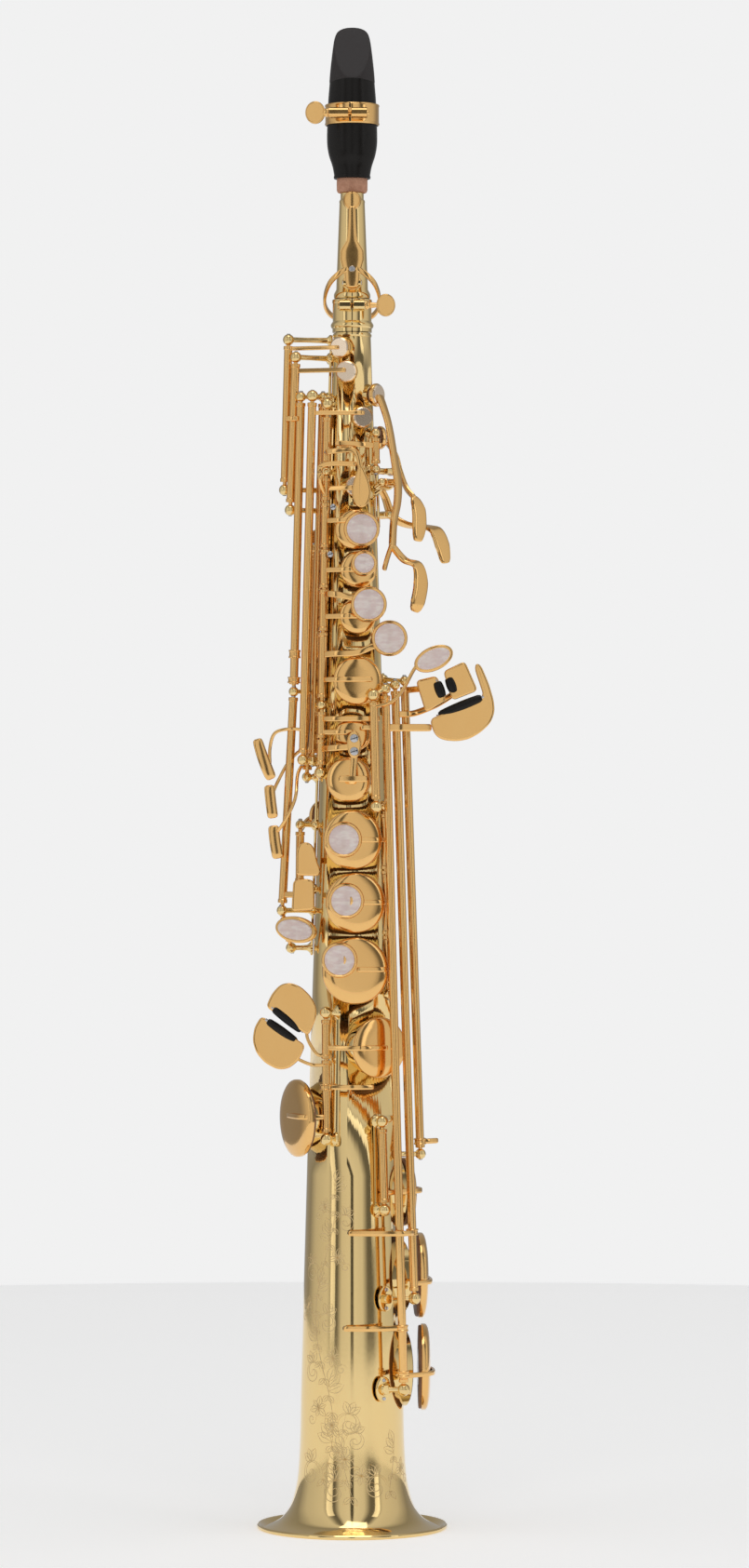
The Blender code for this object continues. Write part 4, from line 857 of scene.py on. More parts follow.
def neck_tube():
    outer = [(4.6, 646.0), (5.5, 645.9), (5.6, 645.6), (5.6, 640.6), (6.0, 640.1), (6.25, 639.4),
             (6.1, 638.6), (neck_radius(600.0), 600.0), (neck_radius(597.0), 597.0),
             (8.5, 595.4), (8.8, 594.6), (8.8, 593.2), (8.5, 592.6), (8.1, 592.4),
             (8.1, NECK_BASE)]
    inner = [(7.1, NECK_BASE), (4.4, 645.9)]
    pip = lathe([(1.0, 8.6), (1.4, 8.75), (1.7, 8.6), (1.85, 7.2), (2.7, 6.4), (2.9, 5.2),
                 (1.0, 5.2)], VENT, FRONT, 36, closed=True)
    saddles = [box((side * 3.4, -8.3, HINGE_Z), (1.4, 4.6, 3.6)) for side in (-1, 1)]
    saddles += [rod((side * 2.7, HINGE_Y, HINGE_Z), (side * 4.3, HINGE_Y, HINGE_Z), 1.9)
                for side in (-1, 1)]
    foot = plate(ellipse(5.2, 3.4), 0.0, thickness=1.0, at=(0.0, -7.45, HINGE_Z), crown=0.0)
    add_part("neck_tube", [lathe(outer + inner, segments=96, closed=True), pip, foot] + saddles,
             tube_brass)
    piece("neck_saddle_screws", [lathe([(0.0, 0.35), (1.0, 0.3), (1.2, 0.0), (0.0, 0.0)],
                                       (side * 4.35, HINGE_Y, HINGE_Z), (side, 0, 0), 24)
                                 for side in (-1, 1)], screw_steel, "neck")


def neck_cork():
    add_part("neck_cork", [lathe([(6.5, 656.2), (7.1, 655.9), (7.35, 655.0), (7.45, 648.0),
                                  (7.4, 644.9), (7.0, 643.9), (6.5, 643.7), (5.95, 643.8),
                                  (5.95, 656.0)], segments=72, closed=True)], cork)


neck_tube()
neck_cork()

# %% [markdown]
# A mouthpiece is turned from black ebonite, then planed: a slope in front makes the beak, and a
# flat behind takes the reed. The same is done here by swinging the outline round the axis and
# holding every point between the two planes. The reed is cane, thick at the butt and almost
# nothing at the tip, and a ring with two lugs ties it on.

# %% Mouthpiece and reed
BEAK_FOOT = 697.0
BEAK_SLOPE = 13.6 / 27.5
BEAK_FRONT = -11.0
NO_PLANE = 99.0
TABLE = 6.6
TABLE_FROM = 670.0


def beak_plane(z):
    """How far forward the sloping beak lets a point lie; below its foot it holds nothing."""
    return BEAK_FRONT + (z - BEAK_FOOT) * BEAK_SLOPE if z > BEAK_FOOT else -NO_PLANE


def mouthpiece():
    corners = [(8.2, 650.4), (8.5, 651.2), (9.2, 655.2), (9.9, 657.8), (11.3, 662.2),
               (12.1, 668.0), (12.0, 677.0), (11.5, 688.5), (10.9, 696.0), (10.4, 702.6),
               (9.2, 713.0), (8.2, 718.6), (6.6, 721.8), (3.6, 723.4), (0.6, 723.8)]
    run = [p for p, _ in smooth_run([Vector((r, z, 0)) for r, z in corners], [0] * 15, 5)]
    rings = []
    for point in run:
        r, z = point.x, point.y
        front = beak_plane(z)
        back = TABLE if z > TABLE_FROM else NO_PLANE
        ring = []
        for i in range(96):
            a = tau * i / 96
            ring.append(Vector((r * cos(a), min(max(r * sin(a), front), back), z)))
        rings.append(ring)
    bore = [[Vector((7.75 * cos(tau * i / 96), 7.75 * sin(tau * i / 96), z)) for i in range(96)]
            for z in (664.0, 650.4)]
    add_part("mouthpiece", [skin([[Vector((0, 0, 664.0))]] + bore + rings)], ebonite_gloss)
    columns = [radians(-178 + 176 * i / 44) for i in range(45)]
    rings = []
    for k in range(34):
        outer, inner = [], []
        for a in columns:
            foot = BEAK_FOOT + 1.0 - 1.5 * cos(a) ** 2
            z = foot + (723.3 - foot) * k / 33
            r = next(p.x + (q.x - p.x) * (z - p.y) / (q.y - p.y)
                     for p, q in zip(run, run[1:]) if p.y <= z <= q.y)
            front = beak_plane(z)
            rise = 0.14 if k else 0.02
            outer.append(Vector(((r + rise) * cos(a), max((r + rise) * sin(a), front - rise), z)))
            inner.append(Vector(((r - 0.4) * cos(a), max((r - 0.4) * sin(a), front + 0.3), z)))
        rings.append(outer + inner[::-1])
    piece("beak_face", [skin(rings)], ebonite_beak, "mouthpiece")
    piece("shank_ring", [lathe([(8.2, 652.2), (8.75, 652.0), (8.9, 651.2), (8.75, 650.5),
                                (8.0, 650.3)], segments=96, closed=True)],
          ebonite_gloss, "mouthpiece")


def reed():
    """The flat lies on the table; the bark is round at the butt and thin at the tip."""
    rings = []
    for i in range(30):
        z = 672.5 + i * 50.0 / 29
        share = min(max((z - 690.0) / 32.0, 0.0), 1.0)
        half = (12.4 + 0.6 * share) / 2
        thick = 2.7 * (1 - share) ** 1.3 + 0.28
        ring = [Vector((half, 6.95, z)), Vector((-half, 6.95, z))]
        for k in range(11):
            a = pi * k / 10
            ring.append(Vector((-half * cos(a), 6.95 + 0.12 + (thick - 0.12) * sin(a) ** 0.6, z)))
        rings.append(ring)
    add_part("reed", [skin(rings)], cane_reed)


mouthpiece()
reed()

# %% Ligature and its screw
LIGATURE_Z = 680.7
BOLT = (0.0, -14.8, LIGATURE_Z)


def ligature():
    band = lathe([(12.5, 686.2), (12.95, 686.1), (13.2, 685.6), (13.0, 685.1), (12.95, 684.6),
                  (12.95, 677.8), (13.0, 677.3), (13.2, 676.8), (12.95, 676.2), (12.5, 676.1)],
                 segments=96, closed=True)
    lugs = []
    for low_x, high_x in ((-11.4, -1.7), (-0.4, 7.4)):
        middle = (low_x + high_x) / 2
        lugs.append(rod((low_x, -14.8, LIGATURE_Z), (high_x, -14.8, LIGATURE_Z), 2.6, segments=40))
        lugs.append(box((middle, -13.6, LIGATURE_Z), (high_x - low_x - 1.0, 2.6, 5.2)))
    add_part("ligature", [band] + lugs, key_gold)
    # a dark bar of painted shade in the gap between the ligature's lugs
    piece("ligature_slot_shade", [slot_shade_bar((-1.05, -13.55, 675.0), (-1.05, -13.55, 686.0), 0.8)],
          painted_slot_shade, "mouthpiece")


def ligature_screw():
    y, z = BOLT[1:]
    collar = lathe([(0.0, 14.0), (1.3, 14.0), (2.3, 12.4), (2.3, 11.6), (0.0, 11.6)], BOLT,
                   (-1, 0, 0), 32)
    tip = lathe([(0.0, 8.4), (0.9, 8.3), (1.1, 7.9), (1.1, 7.0), (0.0, 7.0)], BOLT, (1, 0, 0), 24)
    add_part("ligature_screw", [threads((-13.0, y, z), (7.4, y, z), 1.1), collar, tip]
             + paddle((-17.6, y, z), 4.9, 5.6, (-13.6, y, z)), key_gold)


ligature()
ligature_screw()

# %% [markdown]
# The neck's octave key is one springy strip: a small round pad over the vent, a leaf-shaped plate,
# and a slim ring that loops round the sleeve so that the body's lever can reach it from behind.

# %% Neck octave key
def neck_octave_key():
    pad = lathe([(0.0, 2.5), (2.2, 2.45), (3.4, 2.2), (3.5, 1.9), (4.2, 1.7), (4.5, 1.2),
                 (4.5, 0.1), (4.3, 0.0), (0.0, 0.0)], VENT_PAD, FRONT, 48)
    strip = arm([(0, -11.5, 636.0), (0, -11.5, 630.0), (0, -11.6, 623.0), (0, -11.7, 619.6),
                 (0, -11.8, 617.0), (0, -11.8, 614.6), (0, -11.8, 610.6), (0, -11.8, 607.6),
                 (0, -11.7, 604.4), (0, -11.6, 601.0), (0, -11.4, 597.2)],
                [3.6, 3.9, 4.6, 5.4, 8.6, 11.2, 11.4, 10.0, 7.8, 7.4, 6.0], 1.4, up=(1, 0, 0))
    barrel = rod((-2.5, HINGE_Y, HINGE_Z), (2.5, HINGE_Y, HINGE_Z), 1.8)
    ring = []
    for side in (-1, 1):
        ring.append(arm([(side * 1.5, -11.8, 606.5), (side * 5.8, -11.4, 604.2),
                         (side * 10.6, -8.6, 599.6), (side * 13.0, -2.5, 594.0),
                         (side * 12.8, 4.0, 589.0), (side * 9.8, 10.8, 585.4),
                         (side * 5.4, 13.8, 584.4), (side * -0.6, 15.0, 584.0)], 2.5, 1.5))
    add_part("neck_octave_key", [strip, pad, barrel] + ring, key_gold)
    piece("neck_octave_pad", [lathe([(0.0, 0.3), (3.6, 0.3), (3.7, -0.3), (3.3, -0.6),
                                     (0.0, -0.6)], VENT_PAD, FRONT, 40)],
          pad_leather, "neck_octave_key")
    piece("neck_octave_screw", [lathe([(0.0, 0.7), (1.2, 0.65), (1.5, 0.3), (1.5, 0.0),
                                       (0.0, 0.0)], (0, -12.45, 606.0), FRONT, 28)],
          screw_steel, "neck_octave_key")


neck_octave_key()

# %% [markdown]
# Every key turns between ball posts. On this kind of instrument the posts stand on long straps
# soldered to the tube. A post is a turned ball on a stem that spreads into a small foot.

# %% Straps and ball posts
def hinge(line):
    low, high = Vector(line[0]), Vector(line[1])
    return low, (high - low).normalized()


def hinge_tube(line, z_low, z_high, radius=ROD_R):
    """A key's tube, with the turned collars that show at its two ends."""
    low, high = along(line, z_low), along(line, z_high)
    length = (high - low).length
    c, lip = min(1.6, length * 0.2), 0.28
    profile = [(0.0, length), (radius + lip - 0.2, length), (radius + lip, length - 0.2),
               (radius + lip, length - c), (radius, length - c - 0.3), (radius, c + 0.3),
               (radius + lip, c), (radius + lip, 0.2), (radius + lip - 0.2, 0.0), (0.0, 0.0)]
    return lathe(profile, low, high - low, 32)


def post(place, foot, radius=BALL_R, stem=1.4):
    place, foot = Vector(place), Vector(foot)
    length = (place - foot).length
    profile = [(0.0, length), (stem * 0.95, length), (stem * 0.85, length * 0.55),
               (stem, min(1.9, length * 0.45)), (stem * 1.5, 0.9), (stem * 2.0, 0.35),
               (stem * 2.0, -0.5), (0.0, -0.5)]
    return [ball(place, radius), lathe(profile, foot, place - foot, 28)]


def rib(phi, z_low, z_high, width=4.0):
    """A strip soldered along the tube: it follows the cone at a small height above it."""
    steps = (z_low, (z_low + z_high) / 2, z_high)
    points = [around(phi, tube_radius(z) + GAP + 0.65, z) for z in steps]
    return arm(points, width, 1.2, up=(cos(radians(phi)), sin(radians(phi)), 0))


def rib_point(phi, z, height=1.5):
    return around(phi, tube_radius(z) + height, z)


def end_posts(line, foot_phi, radius=BALL_R, stem=1.4, ends=(0, 1)):
    solids = []
    for end in ends:
        place = Vector(line[end])
        solids += post(place, rib_point(foot_phi, place.z), radius, stem)
    return solids


def saddle(line, foot):
    """Two lugs that hold a cross hinge, on one bar with a foot."""
    low, high = Vector(line[0]), Vector(line[1])
    inner = Vector(foot)
    middle = (low + high) / 2
    sink = (inner - middle).normalized() * 4.4
    return [ball(low, 1.9), ball(high, 1.9), rod(low, low + sink, 1.3),
            rod(high, high + sink, 1.3), rod(low + sink, high + sink, 1.3),
            rod(middle + sink, inner, 1.5)]


# %% [markdown]
# The left strap is the busiest piece of the frame: it holds the posts of the high trill keys, the
# side keys and the thumb's octave lever.

# %% The straps, each with its posts
LEFT, UPPER_SIDE, LOWER_SIDE, C_SHARP_SIDE, LOW_C_SIDE = -95, -62, 66, 33, -20


def left_rib():
    solids = [rib(LEFT, 276.0, 573.5)]
    solids += end_posts(HIGH_G, LEFT) + end_posts(HIGH_FS, LEFT)
    solids += end_posts(FS_ROD, -84, 2.4, 1.1) + end_posts(HIGH_E, LEFT, ends=(0,))
    solids += [strap(LEFT, -83, FS_ROD[0][2]), strap(LEFT, -83, FS_ROD[1][2])]
    solids += end_posts(SIDE_C, LEFT, 2.5, ends=(0,)) + end_posts(SIDE_BB, LEFT, 2.4)
    solids += end_posts(TRILL, LEFT, 2.3) + end_posts(G_LEVER, LEFT, 2.6)
    solids += post(HIGH_E[1], rib_point(LEFT, HIGH_E[1][2]), 2.8)
    solids += post(SIDE_C[1], rib_point(LEFT, SIDE_C[1][2]), 2.4)
    solids += end_posts(OCTAVE, -160, 2.3, 1.2)
    solids += [strap(LEFT, -200, 543.0), strap(LEFT, -165, 468.0), strap(LEFT, -165, 562.0)]
    solids += saddle(OCTAVE_PAD, rib_point(165, 543.0))
    add_part("left_rib", solids, tube_brass)


def upper_stack_rib():
    solids = [rib(UPPER_SIDE, 362.0, 545.0, 3.6)]
    solids += end_posts(UPPER_STACK, UPPER_SIDE, 2.8, 1.5)
    solids += post(along(UPPER_STACK, 396.5), rib_point(UPPER_SIDE, 396.5), 2.4)
    solids += post(along(UPPER_STACK, 508.6), rib_point(UPPER_SIDE, 508.6), 2.4)
    add_part("upper_stack_rib", solids, tube_brass)


def lower_stack_rib():
    solids = [rib(LOWER_SIDE, 256.0, 350.0, 3.6)]
    solids += end_posts(LOWER_STACK, LOWER_SIDE, 2.7, 1.5)
    solids += post(ROD_1[0], rib_point(LOWER_SIDE, ROD_1[0][2]), 2.9, 1.5)
    add_part("lower_stack_rib", solids, tube_brass)


# %% Palm-key hinges and their strap
PALM_F = ((14.2, -15.4, 503.4), (20.6, -5.4, 503.4))
PALM_EB = ((20.2, -1.2, 509.5), (18.4, 8.8, 509.5))
PALM_D = ((19.6, 9.4, 489.0), (12.6, 17.6, 489.0))
F_LINK = ((11.4, -13.0, 509.8), (11.4, -13.0, 527.2))
OCTAVE = ((-6.8, 19.4, 468.0), (-6.8, 17.6, 562.0))
OCTAVE_PAD = ((-1.6, 15.8, 543.0), (8.4, 15.8, 543.0))


def strap(start, end, z, width=3.0):
    """A band round part of the tube, which joins the feet of posts on different sides."""
    count = max(2, int(abs(end - start) / 15))
    angles = [start + (end - start) * i / count for i in range(count + 1)]
    return arm([rib_point(phi, z, 1.05) for phi in angles], width, 1.2)


def palm_key_rib():
    """A strip on the right with the saddles of the three palm keys and one upright hinge."""
    solids = [rib(84, 482.0, 513.5, 3.6), strap(46, 132, 499.0), rib(46, 496.0, 530.0, 3.4)]
    solids += [strap(84, 132, 489.0)]
    solids += saddle(PALM_F, rib_point(60, 499.0, 1.2))
    solids += saddle(PALM_EB, rib_point(88, 509.5, 1.2))
    solids += saddle(PALM_D, rib_point(126, 489.0, 1.2))
    solids += end_posts(F_LINK, 46, 2.2, 1.3)
    add_part("palm_key_rib", solids, tube_brass)


def pinky_table_post():
    """Four ball posts fanned out on one strip, for the tops of the four long levers."""
    solids = [rib(78, 392.0, 412.0, 4.2)]
    for line, z_foot, radius in ((ROD_2, 400, 2.5), (ROD_3, 406, 2.4), (ROD_4, 409, 2.4)):
        solids += post(line[1], rib_point(78, z_foot), radius, 1.1)
    solids += post(ROD_1[1], ROD_2[1], 2.9, 1.2)
    add_part("pinky_table_post", solids, tube_brass)


# %% [markdown]
# The longest levers end in single posts on wide oval flanges. Two small screws hold each flange.

# %% Flanged posts, thumb hook, strap ring and thumb rest
def flange_post(name, place, phi, radius=3.0, stem=1.5):
    """One post on a wide oval flange, its ball at the end of a long lever."""
    place = Vector(place)
    foot = around(phi, tube_radius(place.z) + GAP + 0.5, place.z)
    face = outward(phi)
    flange = plate(ellipse(4.4, 6.4), 0.0, normal=face, thickness=1.1, at=foot + face * 1.4,
                   crown=0.15)
    sleeve = lathe([(0.0, 4.2), (2.1, 4.2), (2.3, 3.8), (2.3, 1.6), (0.0, 1.6)], foot, face, 36)
    add_part(name, [flange, sleeve] + post(place, foot + face * 1.5, radius, stem), tube_brass)
    piece(name + "_screws", [lathe([(0.0, 0.5), (0.8, 0.4), (1.0, 0.0), (0.0, 0.0)],
                                   foot + face * 2.05 + Vector((0, 0, side * 4.4)), face, 20)
                             for side in (-1, 1)], screw_steel)


def c_sharp_rib():
    """A strip with the low C sharp key's posts, and a strap round to its lever's end post."""
    solids = [rib(C_SHARP_SIDE, 151.0, 200.5), strap(31, 76, 198.0), rib(74, 179.0, 199.5, 3.4)]
    solids += end_posts(C_SHARP, C_SHARP_SIDE, 3.0, 1.7)
    solids += post(ROD_4[0], rib_point(74, ROD_4[0][2]), 2.6, 1.3)
    add_part("low_c_sharp_rib", solids, tube_brass)


def low_c_rib():
    solids = [rib(LOW_C_SIDE, 185.5, 252.0, 3.2)]
    solids += end_posts(LOW_C, LOW_C_SIDE, 3.0, 1.7)
    add_part("low_c_rib", solids, tube_brass)


def thumb_hook():
    """A curved hook for the right thumb on a soldered plate, behind the lower stack."""
    base = rib(180, 305.0, 333.0, 9.0)
    hook = arm([(0, 18.2, 321.0), (0, 25.0, 324.5), (0, 31.0, 323.5), (0, 36.0, 318.0),
                (0, 37.5, 310.0)], [9.0, 10.0, 11.0, 11.0, 9.0], 2.2, up=(1, 0, 0))
    add_part("thumb_hook", [base, hook], tube_brass)


def strap_ring():
    base = rib(180, 355.0, 371.0, 6.0)
    loop = lathe([(5.4, 1.3), (5.9, 0.0), (5.4, -1.3), (3.4, -1.3), (2.9, 0.0), (3.4, 1.3)],
                 (0, 22.4, 363.0), (1, 0, 0), 20, closed=True)
    add_part("strap_ring", [base, loop], tube_brass)


def thumb_rest():
    base = rib(163, 447.0, 461.0, 5.0)
    button = lathe([(0.0, 2.4), (4.0, 2.2), (5.6, 1.0), (5.8, 0.0), (0.0, 0.0)],
                   (4.4, 13.6, 454.0), (0, 1, 0), 16)
    add_part("thumb_rest", [base, button], ebonite_gloss)


# %% [markdown]
# A touch is where a finger presses. The round ones are shell pearls, set in a turned holder whose
# rim is rolled over them. The pearl is a little hollow in its middle, so the finger finds it.

# %% Keys, arms and pearl touches
PEARL_R = 8.6
waiting_pearls = []


def key(name, solids):
    """A key's metal, then the pearls that its touches hold."""
    add_part(name, solids, key_gold)
    if waiting_pearls:
        piece(name + "_pearl", waiting_pearls, shell_pearl, BODY_OF[name])
        waiting_pearls.clear()


def cup_solids(name, line, arm_z, reach=0.0, width=ARM_W):
    """The cup of a key with the arm that carries it from the hinge over the cup's top."""
    cup = CUPS[name]
    pose = hinge(line)
    face = cup.rest(pose)[1]
    start = along(line, arm_z)
    top = cup.top(pose, reach, arm_z - cup.z)
    edge = cup.top(pose, 0, arm_z - cup.z) - face * 0.2
    out = start - edge
    flat = (out - face * out.dot(face))
    edge = edge + flat.normalized() * cup.radius * 0.8 + face * 0.9
    return [cup.mesh(pose), arm([start, edge, top + face * 0.9], width)]


def bezel(place, normal=FRONT, radius=PEARL_R):
    """A touch's pearl holder; its pearl is kept for the key that it belongs to."""
    inner = radius - 1.5
    dish = [(inner * share, 2.75 + 0.75 * share ** 2) for share in (0.0, 0.3, 0.6, 0.85)]
    waiting_pearls.append(lathe(dish + [(inner, 3.2), (inner, 1.0), (0.0, 1.0)], place, normal,
                                56))
    rim = [(inner, 1.2), (inner, 3.05), (inner + 0.35, 3.4), (radius - 0.45, 3.3),
           (radius - 0.1, 2.9), (radius, 2.4), (radius - 0.1, 0.8), (radius - 0.7, 0.1),
           (radius - 1.8, -0.6), (0.0, -0.6)]
    return lathe([(0.0, 1.2)] + rim, place, normal, 64)


# %% [markdown]
# The six main fingers work two stacks on two long rods. Each key is a tube on the rod, a cup, the
# arm between them, and a pearl that stands over the cup or beside it.

# %% Upper and lower stacks
def stack_keys():
    """The upper and the lower stack: cups, arms and the pearl holders that the fingers press."""
    u, w = UPPER_STACK, LOWER_STACK
    key("small_c_key", [hinge_tube(u, 494.6, 505.2), arm([along(u, 497.0), (-15.0, -20.0, 504.0),
        (-14.0, -20.4, 511.3), (2.2, -22.0, 511.8)], 2.4)]
        + cup_solids("small_c_key", u, 500.4))
    b_top = CUPS["b_key"].top(hinge(u), 3.0, 0.0)
    key("b_key", [hinge_tube(u, 472.0, 493.4), bezel((4.7, b_top.y - 1.6, 480.5)),
        rod(b_top, (4.7, b_top.y - 1.4, 480.5), 3.4)] + cup_solids("b_key", u, 484.9))
    bis_top = CUPS["bis_key"].top(hinge(u), 2.0, 2.0)
    key("bis_key", [hinge_tube(u, 452.6, 471.0), bezel((5.9, bis_top.y - 2.2, 464.1), radius=6.2),
        rod(bis_top, (5.9, bis_top.y - 2.0, 464.1), 3.0)] + cup_solids("bis_key", u, 461.2))
    a_depth = CUPS["a_key"].top(hinge(u)).y - 3.4
    key("a_key", [hinge_tube(u, 432.0, 451.8), bezel((8.1, a_depth, 444.4)),
        arm([along(u, 449.6), (-9.0, a_depth + 1.6, 449.4), (1.0, a_depth + 0.2, 447.5),
             (8.0, a_depth, 444.6)], 3.0)] + cup_solids("a_key", u, 438.9))
    g_depth = CUPS["g_key"].top(hinge(u)).y - 1.0
    key("g_key", [hinge_tube(u, 400.0, 431.2), bezel((18.0, g_depth, 428.2)),
        arm([along(u, 420.6), (-8.0, g_depth + 2.4, 421.0), (2.0, g_depth, 421.4),
             (10.0, g_depth, 424.4), (16.0, g_depth, 427.0)], 3.0)]
        + cup_solids("g_key", u, 408.6, reach=7.0))
    gs_top = CUPS["g_sharp_key"].top(hinge(u))
    key("g_sharp_key", [hinge_tube(u, 380.6, 393.2), arm([along(u, 389.8),
        (-9.0, -22.5, 389.8), (2.0, -24.6, 389.8), (13.4, -24.0, 389.8)], 2.6)]
        + cup_solids("g_sharp_key", u, 383.4))
    plate_y = gs_top.y - 5.8
    key("f_sharp_key", [hinge_tube(u, 367.8, 379.9), arm([along(u, 375.4),
        (-9.0, plate_y + 2.0, 375.8), (-3.0, plate_y, 376.2), (1.1, plate_y, 376.6)], 3.0, 1.8),
        plate(ellipse(3.6, 6.8, 0, (1.1, 377.4), 12), plate_y, thickness=1.8),
        arm([(1.1, plate_y, 372.0), (0.6, plate_y - 0.6, 366.0), (0.2, plate_y - 0.8, 360.6)],
            3.4, 1.8, up=(1, 0, 0)),
        CUPS["f_sharp_key"].mesh(hinge(u)),
        rod(CUPS["f_sharp_key"].top(hinge(u)), (0.2, plate_y - 0.8, 360.6), 2.2),
        arm([(-6.4, plate_y - 0.9, 361.0), (0.6, plate_y - 1.1, 361.0),
             (7.6, plate_y - 0.7, 361.0)], 3.0, 1.8)])
    for name, arm_z, z_low, z_high, pearl_at in (
            ("f_key", 331.9, 317.8, 344.3, (-3.8, 332.1)),
            ("e_key", 302.0, 286.6, 317.1, (-2.7, 302.9)),
            ("d_key", 270.0, 262.0, 285.9, (-5.9, 274.7))):
        cup = CUPS[name]
        top = cup.top(hinge(w), pearl_at[0], pearl_at[1] - cup.z)
        key(name, [hinge_tube(w, z_low, z_high), bezel((pearl_at[0], top.y - 1.6, pearl_at[1])),
            rod(top, (pearl_at[0], top.y - 1.4, pearl_at[1]), 4.4)]
            + cup_solids(name, w, arm_z, reach=0.4))


# %% [markdown]
# High on the tube are small closed keys. Long rods on the left carry their motion from the right
# hand's side touches, and an oval pearl and two plates open the highest notes.

# %% High keys and right-hand side keys
def high_keys():
    """The closed keys at the top of the tube and the levers that open them."""
    key("high_g_key", [hinge_tube(HIGH_G, 504.0, 569.4)]
        + cup_solids("high_g_key", HIGH_G, 568.2, width=2.0))
    key("high_f_sharp_key", [hinge_tube(HIGH_FS, 494.0, 560.6)]
        + cup_solids("high_f_sharp_key", HIGH_FS, 557.2, width=2.2))
    key("high_f_sharp_rod", [hinge_tube(FS_ROD, 406.4, 541.6), hinge_tube(FS_ROD, 407.0,
        410.0, 2.8), hinge_tube(FS_ROD, 419.0, 423.0, 2.6),
        arm([along(FS_ROD, 534.0), (-27.5, -14.4, 534.0), (-31.4, -12.6, 534.0)], 2.4)])
    key("high_f_sharp_lever", [hinge_tube(FS_LEVER, 301.4, 400.2),
        arm([along(FS_LEVER, 305.4), (-27.5, -12.0, 305.4), (-23.0, -14.5, 305.4)], 3.0),
        plate([(-29.0, 297.4), (-28.2, 312.6), (-21.0, 313.2), (-18.2, 311.8), (-17.8, 298.2)],
              -15.0, thickness=2.0)])
    key("high_g_lever", [rod(along(G_LEVER, 283.0), along(G_LEVER, 294.2), 1.8),
        arm([along(G_LEVER, 288.6), (-29.5, -7.0, 288.6), (-26.8, -9.0, 288.6)], 4.0),
        plate(ellipse(11.2, 6.4, -8, count=18), 0, normal=outward(-28), thickness=2.6,
              at=(-26.8, -9.6, 288.6))])
    key("high_e_key", [hinge_tube(HIGH_E, 373.6, 541.5), arm([along(HIGH_E, 384.5),
        (-30.0, -15.2, 385.0), (-37.0, -13.0, 383.0), (-39.4, -11.6, 376.0),
        (-39.4, -11.6, 368.0)],
        [2.6, 2.6, 3.0, 3.0, 3.0], up=(0, -1, 0)),
        arm([(-45.6, -11.6, 380.2), (-43.4, -12.2, 373.0), (-41.0, -12.2, 366.5),
             (-38.6, -11.6, 361.0)], [4.8, 5.4, 5.6, 5.2], 2.6, up=(1, 0, 0.3))]
        + cup_solids("high_e_key", HIGH_E, 536.6, width=2.0))
    key("side_c_key", [hinge_tube(SIDE_C, 373.4, 541.5), arm([along(SIDE_C, 376.0),
        (-24.6, -5.2, 374.8), (-30.4, -4.8, 369.4), (-35.6, -6.4, 360.0), (-38.6, -9.6, 353.0)],
        2.6, up=(0, -1, 0)),
        arm([(-39.8, -10.4, 358.0), (-39.0, -10.8, 350.0), (-38.0, -10.4, 342.2)], 5.2, 2.6,
            up=(1, 0, 0))] + cup_solids("side_c_key", SIDE_C, 505.0))
    key("side_b_flat_key", [hinge_tube(SIDE_BB, 365.4, 468.8), arm([along(SIDE_BB, 371.0),
        (-26.0, -4.4, 364.0), (-27.2, -13.4, 352.0), (-31.6, -14.0, 342.0), (-35.6, -11.0, 336.0)],
        2.6, up=(0, -1, 0)),
        arm([(-37.8, -9.8, 338.6), (-37.0, -10.2, 331.0), (-35.6, -9.8, 322.8)], 5.4, 2.6,
            up=(1, 0, 0))] + cup_solids("side_b_flat_key", SIDE_BB, 450.0))
    key("f_sharp_trill_key", [hinge_tube(TRILL, 311.4, 335.6), arm([along(TRILL, 322.0),
        (-25.4, -8.0, 322.0), (-23.4, -13.6, 322.0)], 3.0),
        plate([(-26.7, 314.6), (-26.7, 326.4), (-25.2, 330.4), (-20.4, 330.8), (-17.6, 327.0),
               (-16.8, 321.4), (-15.0, 317.4), (-15.6, 314.4)], -14.4, thickness=2.0),
        CUPS["f_sharp_trill_key"].mesh(hinge(TRILL)),
        arm([along(TRILL, 333.6), (-25.0, 5.0, 336.0), (-21.6, 13.2, 341.0),
             CUPS["f_sharp_trill_key"].top(hinge(TRILL)) + outward(-132) * 0.9], 2.6)])


# %% [markdown]
# The left palm opens three keys with seesaw levers on cross hinges. Their touches curl outward in
# flattened, leaf-like ends.

